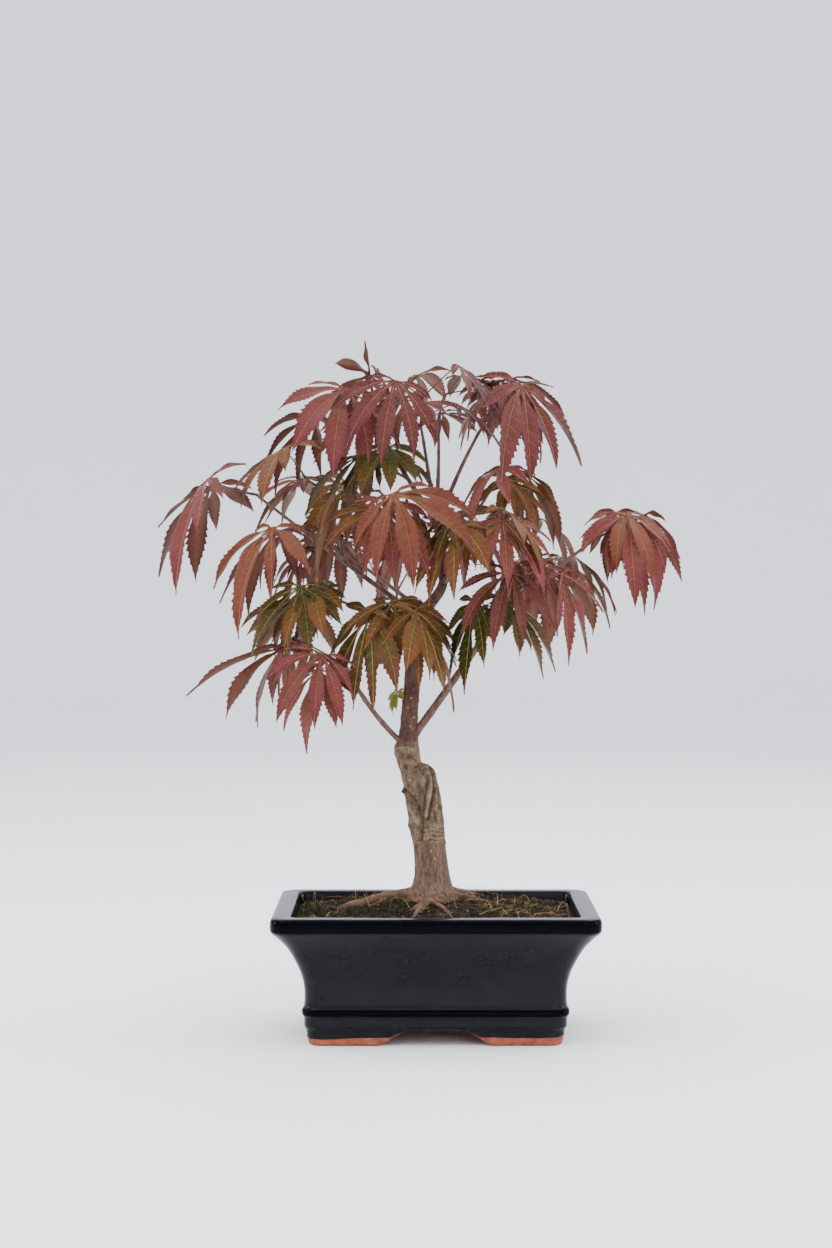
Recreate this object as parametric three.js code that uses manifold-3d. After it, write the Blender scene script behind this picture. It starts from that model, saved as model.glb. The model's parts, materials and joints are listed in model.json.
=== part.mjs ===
// A small grafted Japanese maple trained as a bonsai, in a glazed rectangular pot.
// Millimetres, +Z up, +X to the right, the front faces -Y. The tree is described from the middle
// of the pot's underside, and the whole part is moved at the end so that the middle of its
// outline, seen from above, is at the origin.
import * as THREE from 'three';
import { mergeVertices } from 'three/addons/utils/BufferGeometryUtils.js';
import Module from 'manifold-3d';

const wasm = await Module();
wasm.setup();

// ---- Sizes of the whole ----
const GAP = 0.3;
const CLEAR = GAP * 1.4;
const ORIGIN_SHIFT = [12.6, -8.5, 0];

// ---- Pot: half-width, height and corner radius along its section ----
const DEPTH_INSET = 25;
const CORNER_STEPS = 3;
const FOOT_INSIDE = [[67, 11, 4], [68, 0.8, 5], [69, 0, 5]];
const OUTSIDE = [
  [76.6, 0, 8], [77.7, 1.2, 9], [78.7, 9.8, 9], [80, 11.2, 9], [80, 17.2, 9], [81.4, 19, 9.5],
  [81.4, 22, 9.5], [79.9, 24, 9], [79.8, 35, 9], [81.8, 44, 9], [85.3, 52, 9], [89.5, 60, 9.5],
  [94.5, 66, 10], [97.4, 69, 10.5], [99.6, 70.5, 11], [100, 72, 11], [100, 76.5, 11],
  [99, 79.2, 11], [97.4, 80, 10],
];
const INSIDE = [[88.5, 80, 6], [87.6, 79, 6], [86.5, 66, 6], [80, 52, 6], [74, 42, 6], [72.5, 18.5, 6]];
const ARCH_HEIGHT = 9.3;
const FRONT_ARCH = [42, 13];
const SIDE_ARCH = [26, 7];

// ---- Soil: a low mound, flat under the trunk ----
const SOIL_EDGE = 72.5;
const SOIL_TOP = 83.2;
const SOIL_RINGS = [[0.96, 0.12], [0.82, 0.28], [0.6, 0.62], [0.42, 0.86], [0.28, 1]];

// ---- Trunk: x, y, z and radius up the old stock, the graft and the leader ----
const STOCK = [
  [-1, 0, 80, 15.2], [-1, 0, 84, 13.6], [-1.4, 0, 90, 12], [-2, 0, 101, 10.8], [-3.3, 0, 116, 10.2],
  [-5.2, 0, 129, 11.2], [-7.5, 0, 147.6, 11], [-10, 0, 158, 10.8], [-10.6, 0, 163, 10], [-11, 0, 166.5, 7.5],
  [-11.4, 0, 168.3, 4],
];
const SCION = [
  [-9.5, 0, 135, 8], [-12, 0, 150, 7.6], [-14.3, 0, 162, 7.3], [-16.5, 0, 170, 7.6], [-17.6, 0, 177, 8.2],
  [-17.2, 0, 182, 7.1], [-16.6, 0, 188, 5.9], [-16, 1, 200, 5.4], [-14.2, 2, 220, 5.2],
  [-12.6, 2, 245, 5.3], [-11.9, 2, 258, 4.9], [-11.5, 2, 266, 4.3], [-11.2, 2, 270, 3.2],
];
const LEADER = [
  [-17.5, 0, 176, 6], [-16.5, 0, 186, 5], [-16, 1, 200, 4.6], [-14.2, 2, 220, 4.4], [-12.6, 2, 245, 4.3],
  [-7, 2, 262, 3.9], [4.5, 2, 279, 3.2], [4.8, 1, 300, 2.8], [-1, 0, 322, 2.4],
];
const FLARE = [[185, 4], [262, 3.5], [352, 2.5], [45, 3.5], [130, 3.5]];
const FLARE_HEIGHT = 16;
const TRUNK_SIDES = 12;
const LEADER_SIDES = 8;
const ROOT_SIDES = 7;
const BOUGH_SIDES = 5;

// ---- Surface roots: points and the radius at each end ----
const ROOTS = {
  left: [[[-9, -1, 88], [-37, -5, 83.5], [-62, -5, 77]], 3.2, 2],
  front_left: [[[-3, -8, 88], [-6, -26, 82.4], [-14, -45, 77]], 3.4, 1.6],
  front_right: [[[-4, -18, 84.4], [2, -28, 81.6], [9, -38, 79]], 2.4, 1.3],
  right: [[[8, -2, 87], [28, -5, 82.2], [51, -5, 77.4]], 2.2, 1.3],
  back_right: [[[6, 7, 88], [22, 25, 82], [36, 36, 78]], 3, 1.5],
  back_left: [[[-7, 7, 88], [-22, 24, 82.4], [-36, 38, 77.6]], 2.9, 1.5],
};

// ---- Boughs: parent, share of its length, tip, bow of the middle, radius at each end ----
const BOUGHS = {
  low_left: ['leader', 0.01, [-57, -22, 233], [-6, 0, -4], 1.9, 1.2],
  low_right: ['leader', 0.03, [50, -8, 276], [-4, 0, -8], 2.7, 1.7],
  right: ['low_right', 1.0, [100, -6, 309], [2, 0, -3], 1.5, 0.9],
  right_front: ['low_right', 0.92, [58, -30, 284], [0, -3, 0], 1.2, 0.8],
  right_back: ['low_right', 0.72, [66, 38, 288], [0, 4, -2], 1.3, 0.8],
  right_under: ['low_right', 0.55, [32, -26, 262], [2, -2, -3], 1.1, 0.8],
  left: ['leader', 0.55, [-112, 2, 336], [-2, 0, 0], 2.0, 0.8],
  left_up: ['left', 0.47, [-75, 14, 342], [7, 0, -2], 1.2, 0.8],
  left_side: ['left', 0.45, [-72, -30, 314], [0, -3, 0], 1.1, 0.8],
  left_low: ['leader', 0.46, [-60, -8, 270], [-2, 0, 4], 1.4, 0.8],
  left_back: ['leader', 0.58, [-60, 54, 302], [0, 4, 0], 1.6, 0.9],
  front_low: ['leader', 0.47, [-22, -38, 262], [0, -2, 2], 1.3, 0.8],
  front_left: ['leader', 0.74, [-30, -42, 322], [0, -3, 2], 1.4, 0.8],
  front_right: ['leader', 0.72, [22, -46, 312], [2, -3, 0], 1.4, 0.8],
  mid_right: ['leader', 0.86, [34, -12, 338], [3, 0, -2], 1.4, 0.8],
  back_mid: ['leader', 0.7, [4, 62, 312], [0, 3, -2], 1.6, 0.9],
  back_right: ['leader', 0.8, [48, 58, 318], [2, 3, -2], 1.5, 0.8],
  back_left: ['leader', 0.86, [-36, 50, 340], [0, 3, -2], 1.5, 0.8],
  upper_left: ['leader', 1.0, [-35, -2, 376], [-1, 0, -2], 1.8, 1.1],
  crest: ['upper_left', 0.62, [-30, 8, 402], [2, 2, -2], 1.2, 0.8],
  upper_in: ['upper_left', 0.45, [-30, -14, 352], [0, -2, 0], 1.1, 0.7],
  upper_mid: ['leader', 0.99, [-9, -12, 378], [1, 0, 0], 1.5, 0.9],
  upper_back: ['leader', 0.97, [2, 22, 384], [2, 2, 0], 1.5, 0.9],
  upper_right: ['leader', 0.95, [34, 4, 386], [-3, 0, 4], 1.6, 0.9],
};

// ---- Masses: one at the tip of each bough, a short stem with leaves in pairs ----
// Stem's bearing, rise and length, number of leaves, spread, leaf stalk's length and lift,
// leaf's size, pitch, droop and roll, and the seed of its growth.
const SPRAYS = {
  crest: [200, 60, 6, 1, 20, 12, 5, 60, 70, 30, 75, 71],
  upper_left: [210, 10, 14, 2, 45, 34, 15, 78, 45, 45, 0, 137],
  left: [180, 10, 14, 2, 45, 20, 15, 80, 45, 45, 0, 17],
  right: [0, 20, 12, 4, 60, 20, 15, 62, 40, 55, 0, 280],
  low_left: [215, 5, 12, 4, 55, 28, 5, 62, 40, 55, 0, 60],
  upper_mid: [280, 70, 18, 2, 65, 30, 25, 66, 45, 45, 0, 374],
  upper_right: [5, 50, 14, 2, 60, 28, 30, 72, 40, 50, 0, 238],
  front_right: [290, 15, 10, 3, 65, 22, 15, 62, 50, 45, 0, 5],
  front_left: [235, 20, 10, 3, 70, 22, 15, 62, 50, 45, 0, 111],
  right_front: [290, 20, 6, 2, 65, 20, 10, 68, 55, 45, 0, 266],
  right_back: [20, 15, 10, 4, 60, 20, 10, 58, 45, 50, 0, 148],
  right_under: [270, 5, 6, 2, 60, 16, 10, 58, 65, 25, 0, 114],
  left_up: [175, 35, 8, 2, 60, 30, 15, 54, 15, 40, 0, 615],
  left_side: [190, 10, 8, 2, 60, 24, 5, 70, 45, 55, 0, 254],
  left_low: [190, 0, 8, 4, 60, 24, 0, 62, 50, 45, 0, 587],
  left_back: [140, 10, 12, 3, 50, 20, 10, 58, 45, 50, 0, 637],
  front_low: [255, 10, 8, 3, 70, 18, 10, 64, 60, 35, 0, 179],
  mid_right: [330, 15, 10, 2, 60, 20, 15, 64, 45, 50, 0, 650],
  back_mid: [95, 10, 12, 3, 60, 24, 10, 60, 45, 50, 0, 388],
  back_right: [60, 0, 12, 3, 60, 20, 5, 58, 45, 50, 0, 219],
  back_left: [120, 0, 12, 3, 60, 20, 5, 58, 45, 50, 0, 276],
  upper_in: [230, 20, 6, 2, 70, 18, 10, 52, 45, 50, 0, 7],
  upper_back: [60, 65, 18, 2, 70, 26, 25, 60, 25, 45, 0, 76],
};

// ---- Leaves: the lobes' angles and lengths, and where they part and are broad ----
const LOBE_ANGLES = [-108, -68, -33, 0, 33, 68, 108];
const LOBE_LENGTHS = [0.42, 0.78, 0.95, 1, 0.95, 0.78, 0.42];
const LOBE_HALF_WIDTH = 0.118;
const NOTCH = 0.28;
const BROAD = 0.62;
const RIB = 1.1;
const STALK = 0.9;

// ---- Colours ----
const GLAZE = 0x1c1f27;
const EARTH = 0x3a2d20;
const OLD_BARK = 0x7d6754;
const YOUNG_BARK = 0x61453b;
const LEAF_TINTS = [0x7f4143, 0x8a5b42, 0x7d4641, 0x525022, 0x87503f, 0x7f573c];

// ---- Vectors ----
const radians = (degrees) => degrees * Math.PI / 180;
const vector = (point) => new THREE.Vector3(point[0], point[1], point[2]);

function heading(bearing, rise) {
  const b = radians(bearing);
  const r = radians(rise);
  return new THREE.Vector3(Math.cos(b) * Math.cos(r), Math.sin(b) * Math.cos(r), Math.sin(r));
}

// Evenly spread numbers that come out the same for the same seed.
function seeded(seed) {
  let state = (seed * 7919 + 104729) % 4294967296;
  const draw = (low = 0, high = 1) => {
    state = (state * 1664525 + 1013904223) % 4294967296;
    return low + (high - low) * (state / 4294967296);
  };
  for (let k = 0; k < 3; k += 1) draw();
  return draw;
}

// ---- Closed bodies ----
function body(positions, index) {
  const geometry = new THREE.BufferGeometry();
  geometry.setAttribute('position', new THREE.Float32BufferAttribute(positions, 3));
  geometry.setIndex(index);
  return geometry;
}

// A skin over equal rings of points, closed by a fan at each end.
function loft(rings) {
  const count = rings[0].length;
  const points = rings.flat();
  const index = [];
  for (let r = 0; r + 1 < rings.length; r += 1) {
    for (let k = 0; k < count; k += 1) {
      const a = r * count + k;
      const b = r * count + (k + 1) % count;
      index.push(a, b, b + count, a, b + count, a + count);
    }
  }
  for (const [ring, first] of [[rings[0], true], [rings[rings.length - 1], false]]) {
    const middle = new THREE.Vector3();
    ring.forEach((point) => middle.addScaledVector(point, 1 / count));
    const start = first ? 0 : (rings.length - 1) * count;
    points.push(middle);
    for (let k = 0; k < count; k += 1) {
      const next = (k + 1) % count;
      index.push(points.length - 1, start + (first ? next : k), start + (first ? k : next));
    }
  }
  return body(points.flatMap((point) => point.toArray()), index);
}

function solid(geometry) {
  const bare = geometry.clone();
  bare.deleteAttribute('normal');
  bare.deleteAttribute('uv');
  const merged = mergeVertices(bare, 1e-5);
  return new wasm.Manifold(new wasm.Mesh({
    numProp: 3,
    vertProperties: new Float32Array(merged.attributes.position.array),
    triVerts: new Uint32Array(merged.index.array),
  }));
}

// The largest of the separate bodies in a solid: scraps left by a cut are dropped.
function largest(whole) {
  const parts = whole.decompose();
  return parts.reduce((best, part) => (part.volume() > best.volume() ? part : best));
}

function joined(solids) {
  return solids.reduce((sum, next) => sum.add(next));
}

// ---- Rounded rectangles ----
function roundedRing(halfX, halfY, corner, z) {
  const ring = [];
  for (const [sx, sy, from] of [[1, 1, 0], [-1, 1, 90], [-1, -1, 180], [1, -1, 270]]) {
    for (let k = 0; k <= CORNER_STEPS; k += 1) {
      const turn = radians(from + 90 * k / CORNER_STEPS);
      const x = sx * (halfX - corner) + corner * Math.cos(turn);
      const y = sy * (halfY - corner) + corner * Math.sin(turn);
      ring.push(new THREE.Vector3(x, y, z));
    }
  }
  return ring;
}

const potRing = ([half, z, corner]) => roundedRing(half, half - DEPTH_INSET, corner, z);

// The passage between two feet: an S-shaped rise on each side to a flat top.
function arch([foot, flat]) {
  const shape = new THREE.Shape();
  const bend = (foot + flat) / 2;
  shape.moveTo(-foot, -1);
  shape.bezierCurveTo(-bend, -1, -bend, ARCH_HEIGHT, -flat, ARCH_HEIGHT);
  shape.lineTo(flat, ARCH_HEIGHT);
  shape.bezierCurveTo(bend, ARCH_HEIGHT, bend, -1, foot, -1);
  const length = 2.4 * OUTSIDE[15][0];
  const cut = new THREE.ExtrudeGeometry(shape, { depth: length, bevelEnabled: false, curveSegments: 5 });
  return cut.translate(0, 0, -length / 2).rotateX(Math.PI / 2);
}

const shell = solid(loft([...FOOT_INSIDE, ...OUTSIDE, ...INSIDE].map(potRing)));
const pot = shell.subtract(solid(arch(FRONT_ARCH))).subtract(solid(arch(SIDE_ARCH).rotateZ(Math.PI / 2)));

// ---- Soil ----
function soilRings(lift) {
  const draw = seeded(5);
  const slack = 1.5 * GAP;
  const [brim, ...wall] = INSIDE.slice(2);
  const rings = wall.reverse().concat([brim]).map(([half, z, corner], k) => (
    potRing([half - slack, k === 0 ? z + GAP : z, corner - slack])));
  const edge = brim[0] + 0.5 - slack;
  rings.push(potRing([edge, SOIL_EDGE + lift, brim[2] - slack]));
  for (const [share, rise] of SOIL_RINGS) {
    const halfX = edge * share;
    const halfY = (edge - DEPTH_INSET) * Math.max(share, 0.34);
    const corner = Math.min(halfX, halfY) * (1 - share * 0.7);
    const z = SOIL_EDGE + (SOIL_TOP - SOIL_EDGE) * rise + lift;
    const rough = rise > 0.2 && rise < 0.9 ? 0.7 : 0;
    rings.push(roundedRing(halfX, halfY, corner, z).map((p) => p.setZ(p.z + draw(-rough, rough))));
  }
  return rings;
}

const soil = solid(loft(soilRings(0)));
const ground = solid(loft(soilRings(GAP)));

// ---- Limbs ----
function along(points, share) {
  const steps = points.slice(1).map((point, k) => point.distanceTo(points[k]));
  let left = share * steps.reduce((sum, step) => sum + step);
  for (let k = 0; k < steps.length; k += 1) {
    if (left <= steps[k] || k === steps.length - 1) {
      return points[k].clone().addScaledVector(points[k + 1].clone().sub(points[k]).normalize(), left);
    }
    left -= steps[k];
  }
  return points[points.length - 1];
}

// A limb through the points, with a radius at each, as equal rings square to its run.
function limb(points, radii, sides) {
  let across = null;
  const rings = points.map((point, k) => {
    const before = points[Math.max(k - 1, 0)];
    const after = points[Math.min(k + 1, points.length - 1)];
    const run = after.clone().sub(before).normalize();
    if (!across) across = new THREE.Vector3(0.3, 1, 0.2);
    across.addScaledVector(run, -across.dot(run)).normalize();
    const other = run.clone().cross(across);
    return Array.from({ length: sides }, (_, j) => {
      const turn = 2 * Math.PI * j / sides;
      return point.clone()
        .addScaledVector(across, radii[k] * Math.cos(turn))
        .addScaledVector(other, radii[k] * Math.sin(turn));
    });
  });
  return solid(loft(rings));
}

function bent(points, steps) {
  const curve = new THREE.QuadraticBezierCurve3(...points);
  return curve.getPoints(steps);
}

// The same points with both ends moved out along their run.
function lengthened(points, by) {
  const [first, second] = points;
  const [before, last] = points.slice(-2);
  const start = first.clone().sub(second).setLength(by).add(first);
  const end = last.clone().sub(before).setLength(by).add(last);
  return [start, ...points.slice(1, -1), end];
}

// A limb that tapers evenly. Grown, it is that much thicker, and longer at both ends.
function tapered(points, first, last, sides, grow = 0) {
  const radii = points.map((_, k) => first + (last - first) * k / (points.length - 1) + grow);
  return limb(grow ? lengthened(points, grow) : points, radii, sides);
}

// The trunk's rings lie level, and spread towards each surface root near the ground.
function trunkRing([x, y, z, radius], grow) {
  return Array.from({ length: TRUNK_SIDES }, (_, k) => {
    const turn = 360 * k / TRUNK_SIDES;
    const near = Math.max(0, 1 - (z - SOIL_TOP) / FLARE_HEIGHT) ** 2;
    let reach = radius + grow;
    for (const [bearing, spread] of FLARE) {
      reach += spread * near * Math.max(0, Math.cos(radians(turn - bearing))) ** 6;
    }
    return new THREE.Vector3(x, y, z).addScaledVector(heading(turn, 0), reach);
  });
}

function trunkBody(grow) {
  const top = (row) => [row[0], row[1], row[2] + grow, row[3]];
  const stack = (rows) => [...rows.slice(0, -1), top(rows[rows.length - 1])].map((row) => trunkRing(row, grow));
  const leader = grow ? lengthened(LEADER.map(vector), grow) : LEADER.map(vector);
  return joined([
    solid(loft(stack(STOCK))),
    solid(loft(stack(SCION))),
    limb(leader, LEADER.map(([, , , radius]) => radius + grow), LEADER_SIDES),
  ]);
}

const trunk = largest(trunkBody(0).subtract(ground));
const trunkClear = trunkBody(CLEAR);

const roots = {};
let buried = ground.add(trunkClear);
for (const [name, [points, first, last]] of Object.entries(ROOTS)) {
  const path = bent(points.map(vector), 6);
  roots[name] = largest(tapered(path, first, last, ROOT_SIDES).subtract(buried));
  buried = buried.add(tapered(path, first, last, ROOT_SIDES, CLEAR));
}

const paths = { leader: LEADER.map(vector) };
const boughs = {};
let taken = trunkClear;
for (const [name, [parent, share, tip, bow, first, last]] of Object.entries(BOUGHS)) {
  const start = along(paths[parent], share);
  const end = vector(tip);
  const middle = start.clone().add(end).multiplyScalar(0.5).add(vector(bow));
  paths[name] = bent([start, middle, end], 8);
  const path = paths[name].filter((_, k) => k % 2 === 0);
  boughs[name] = largest(tapered(path, first, last, BOUGH_SIDES).subtract(taken));
  taken = taken.add(tapered(path, first, last, BOUGH_SIDES, CLEAR));
}

// ---- Leaves ----
function halfWidth(t) {
  return t > 0 && t < 1 ? LOBE_HALF_WIDTH * Math.sin(Math.PI * t ** 0.8) ** 0.8 : 0;
}

// A leaf hangs down along its bearing, rolls about it, and each lobe droops on from there.
function leafLobes(bearing, size, pitch, roll, droop, draw) {
  const forward = heading(bearing, -pitch);
  const level = new THREE.Vector3(-Math.sin(radians(bearing)), Math.cos(radians(bearing)), 0);
  const side = level.clone().multiplyScalar(Math.cos(radians(roll)))
    .addScaledVector(forward.clone().cross(level), Math.sin(radians(roll)));
  return LOBE_ANGLES.map((angle, k) => {
    const a = radians(angle * draw(0.94, 1.06) + draw(-3, 3));
    const run = forward.clone().multiplyScalar(Math.cos(a)).addScaledVector(side, Math.sin(a));
    const wide = forward.clone().multiplyScalar(-Math.sin(a)).addScaledVector(side, Math.cos(a));
    const turn = Math.atan2(run.y, run.x);
    const rise = Math.asin(Math.max(-1, Math.min(1, run.z)));
    const across = new THREE.Vector3(-Math.sin(turn), Math.cos(turn), 0);
    const up = run.clone().cross(across);
    const fall = Math.min(droop * draw(0.8, 1.2), 88 + rise * 180 / Math.PI);
    return {
      turn,
      rise,
      across,
      tilt: Math.atan2(wide.dot(up), wide.dot(across)),
      fall: radians(Math.max(fall, 4)),
      length: size * LOBE_LENGTHS[k] * draw(0.88, 1.08),
      twist: radians(draw(-20, 20)),
    };
  });
}

// A point on a lobe, t along its rib and u across it.
function lobePoint(hub, lobe, t, u) {
  const { turn, rise, fall, length, across } = lobe;
  const reach = length * (Math.sin(rise) - Math.sin(rise - fall * t)) / fall;
  const drop = length * (Math.cos(rise - fall * t) - Math.cos(rise)) / fall;
  const now = rise - fall * t;
  const run = new THREE.Vector3(Math.cos(turn) * Math.cos(now), Math.sin(turn) * Math.cos(now), Math.sin(now));
  const up = run.clone().cross(across);
  const tilt = lobe.tilt + lobe.twist * t;
  const wide = across.clone().multiplyScalar(Math.cos(tilt)).addScaledVector(up, Math.sin(tilt));
  return hub.clone()
    .add(new THREE.Vector3(Math.cos(turn) * reach, Math.sin(turn) * reach, drop))
    .addScaledVector(wide, halfWidth(t) * length * u);
}

// The way a lobe's upper face looks, t along its rib.
function lobeFace(hub, lobe, t) {
  const run = lobePoint(hub, lobe, t + 0.02, 0).sub(lobePoint(hub, lobe, t - 0.02, 0));
  const across = lobePoint(hub, lobe, t, 1).sub(lobePoint(hub, lobe, t, -1));
  return run.cross(across).normalize();
}

// A leaf as one closed body: the lobes share a hub and the notches between them, and each has
// a raised rib, two edge points where it is broad, and a tip.
function leafBody(hub, lobes) {
  const points = [];
  const put = (point) => points.push(point) - 1;
  const at = (lobe, t, u) => lobePoint(hub, lobe, t, u);
  const middle = lobes[Math.floor(lobes.length / 2)];
  const top = put(hub.clone().addScaledVector(lobeFace(hub, middle, 0.1), RIB));
  const low = put(hub.clone());
  const back = put(hub.clone().addScaledVector(at(middle, NOTCH, 0).sub(hub), -0.22));
  const notches = lobes.slice(1).map((lobe, k) => put(at(lobe, NOTCH, 0).lerp(at(lobes[k], NOTCH, 0), 0.5)));
  const index = [];
  lobes.forEach((lobe, k) => {
    const right = k === 0 ? back : notches[k - 1];
    const left = k === lobes.length - 1 ? back : notches[k];
    const near = put(at(lobe, NOTCH, 0).addScaledVector(lobeFace(hub, lobe, NOTCH), RIB));
    const far = put(at(lobe, BROAD, 0).addScaledVector(lobeFace(hub, lobe, BROAD), RIB * 0.8));
    const farLeft = put(at(lobe, BROAD, 1));
    const farRight = put(at(lobe, BROAD, -1));
    const tip = put(at(lobe, 1, 0));
    index.push(top, right, near, top, near, left, right, farRight, far, right, far, near);
    index.push(near, far, farLeft, near, farLeft, left, farRight, tip, far, far, tip, farLeft);
    index.push(low, left, right, farLeft, tip, farRight);
    const slant = points[left].clone().add(points[farRight]).sub(points[right]).sub(points[farLeft]);
    if (slant.dot(lobeFace(hub, lobe, (NOTCH + BROAD) / 2)) < 0) {
      index.push(left, farLeft, farRight, left, farRight, right);
    } else {
      index.push(left, farLeft, right, right, farLeft, farRight);
    }
  });
  return solid(body(points.flatMap((point) => point.toArray()), index));
}

// True where a body lies a gap or more from every mass grown so far.
const masses = [];
const keepsClear = (leaf) => masses.every((mass) => leaf.minGap(mass, GAP * 2) > GAP);

// A mass: a stem on from the bough's tip, and leaves on stalks to its left and right. A leaf
// that would touch another mass is skipped.
function spray(tip, row) {
  const [bearing, rise, length, count, spread, petiole, lift, size, pitch, droop, roll, seed] = row;
  const draw = seeded(seed);
  const away = heading(bearing, rise);
  const end = tip.clone().addScaledVector(away, length);
  const pieces = [tapered([tip, end], STALK, STALK, 3)];
  for (let k = 0; k < count; k += 1) {
    const share = (Math.floor(k / 2) + 1) / Math.floor((count + 1) / 2);
    const side = k % 2 === 0 ? 1 : -1;
    const node = tip.clone().lerp(end, share);
    const turn = bearing + side * spread * draw(0.6, 1.3);
    const up = lift + draw(-20, 25);
    const reach = petiole * draw(0.75, 1.35);
    const hub = node.clone().addScaledVector(heading(turn, up), reach);
    const facing = turn + draw(-15, 15);
    const width = size * draw(0.86, 1.1);
    const hang = pitch * draw(0.4, 1.4);
    const lobes = leafLobes(facing, width, hang, roll + draw(-30, 30), droop, draw);
    const leaf = leafBody(hub, lobes).add(tapered([node, hub], STALK, STALK * 0.9, 3));
    if (keepsClear(leaf)) {
      pieces.push(leaf);
    }
  }
  const mass = largest(joined(pieces).subtract(taken));
  masses.push(mass);
  return mass;
}

// ---- The part ----
const part = new THREE.Group();
part.position.set(...ORIGIN_SHIFT);

function add(name, whole, colour, roughness) {
  const { vertProperties, triVerts } = whole.getMesh();
  const geometry = new THREE.BufferGeometry();
  geometry.setAttribute('position', new THREE.BufferAttribute(vertProperties, 3));
  geometry.setIndex(new THREE.BufferAttribute(triVerts, 1));
  const material = new THREE.MeshStandardMaterial({ color: colour, roughness, metalness: 0 });
  const mesh = new THREE.Mesh(geometry, material);
  mesh.name = name;
  part.add(mesh);
}

add('pot', pot, GLAZE, 0.18);
add('soil', soil, EARTH, 0.95);
add('trunk', trunk, OLD_BARK, 0.85);
Object.entries(roots).forEach(([name, root]) => add(`root_${name}`, root, OLD_BARK, 0.85));
Object.entries(boughs).forEach(([name, bough]) => add(`bough_${name}`, bough, YOUNG_BARK, 0.7));
Object.entries(SPRAYS).forEach(([name, row], k) => {
  const path = paths[name];
  add(`foliage_${name}`, spray(path[path.length - 1], row), LEAF_TINTS[k % LEAF_TINTS.length], 0.6);
});

export default part;
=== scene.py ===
"""A potted bonsai maple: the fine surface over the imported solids.

Lengths are in millimetres from the middle of the pot's underside, and become metres in the
part's frame when a mesh is made.
"""

import json
import math

import bpy
import numpy as np
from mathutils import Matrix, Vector


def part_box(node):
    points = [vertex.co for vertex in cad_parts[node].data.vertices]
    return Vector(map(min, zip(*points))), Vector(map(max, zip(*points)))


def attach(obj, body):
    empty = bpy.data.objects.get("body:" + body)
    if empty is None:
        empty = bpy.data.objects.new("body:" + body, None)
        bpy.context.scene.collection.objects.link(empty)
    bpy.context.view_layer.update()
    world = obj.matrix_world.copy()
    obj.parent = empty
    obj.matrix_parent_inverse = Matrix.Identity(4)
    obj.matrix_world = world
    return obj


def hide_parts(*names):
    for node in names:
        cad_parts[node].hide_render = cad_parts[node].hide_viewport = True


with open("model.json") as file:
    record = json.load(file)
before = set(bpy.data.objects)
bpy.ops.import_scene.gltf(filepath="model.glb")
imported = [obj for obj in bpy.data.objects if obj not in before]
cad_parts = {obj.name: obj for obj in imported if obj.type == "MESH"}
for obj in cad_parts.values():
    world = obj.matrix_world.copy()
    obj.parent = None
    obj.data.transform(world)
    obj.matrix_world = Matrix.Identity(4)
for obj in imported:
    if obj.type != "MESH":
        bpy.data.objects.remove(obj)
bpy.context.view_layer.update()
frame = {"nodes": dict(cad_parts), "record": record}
POT_LOW, POT_HIGH = (np.array(corner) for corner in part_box("pot"))
ORIGIN = np.array([(POT_LOW[0] + POT_HIGH[0]) / 2, (POT_LOW[1] + POT_HIGH[1]) / 2, 0.0])
MM = 0.001
SHARP = 65  # the angle, in degrees, from which an edge looks sharp

# ---- camera
EYE = (-12.0, -1575.0, 287.0)
EYE_PITCH = 1.16
LENS = 72.7


def place(point):
    """A point in millimetres from the pot's middle, in metres in the part's frame."""
    return tuple(np.asarray(point, float) * MM + ORIGIN)


def put(name, data):
    """An object with this mesh, lamp or camera, in the scene."""
    made = bpy.data.objects.new(name, data)
    bpy.context.scene.collection.objects.link(made)
    return made


camera = put("camera", bpy.data.cameras.new("camera"))
camera.location = place(EYE)
camera.rotation_euler = (math.radians(90 - EYE_PITCH), 0, 0)
camera.data.lens = LENS
camera.data.sensor_width = 36
camera.data.clip_start = 0.05
camera.data.clip_end = 50
bpy.context.scene.camera = camera


# ---- numbers
def seeded(seed):
    """Evenly spread numbers that come out the same for the same seed."""
    state = (seed * 7919 + 104729) % 4294967296

    def draw(low=0.0, high=1.0):
        nonlocal state
        state = (state * 1664525 + 1013904223) % 4294967296
        return low + (high - low) * (state / 4294967296)

    for _ in range(3):
        draw()
    return draw


def heading(bearing, rise):
    """The direction at this bearing and rise over the level, in degrees."""
    b, r = math.radians(bearing), math.radians(rise)
    return np.array([math.cos(b) * math.cos(r), math.sin(b) * math.cos(r), math.sin(r)])


def unit(v):
    """The direction of each vector, with a length of 1."""
    v = np.asarray(v, float)
    return v / np.maximum(np.linalg.norm(v, axis=-1, keepdims=True), 1e-12)


def smoothstep(x):
    """A soft step from 0, where x is 0 or less, to 1, where it is 1 or more."""
    x = np.clip(x, 0, 1)
    return x * x * (3 - 2 * x)


def turns_of(count):
    """The angles that share a full turn equally."""
    return np.arange(count) * 2 * math.pi / count


def run_along(points):
    """How far along the line each of its points is."""
    return np.concatenate([[0], np.cumsum(np.linalg.norm(np.diff(points, axis=0), axis=1))])


def between(at, run, rows):
    """The rows' values at the places `at`, with each row at its own place in `run`."""
    return np.stack([np.interp(at, run, column) for column in rows.T], -1)


def lattice(cell, seed):
    """A number from -1 to 1 for each whole-number cell."""
    x, y, z = (cell[..., k].astype(np.int64) for k in range(3))
    h = (x * 73856093) ^ (y * 19349663) ^ (z * 83492791) ^ (seed * 2654435)
    h = (h ^ (h >> 13)) * 1274126177 & 0xFFFFFFFF
    h = (h ^ (h >> 16)) & 0xFFFFFFFF
    return h / 2147483648.0 - 1.0


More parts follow.
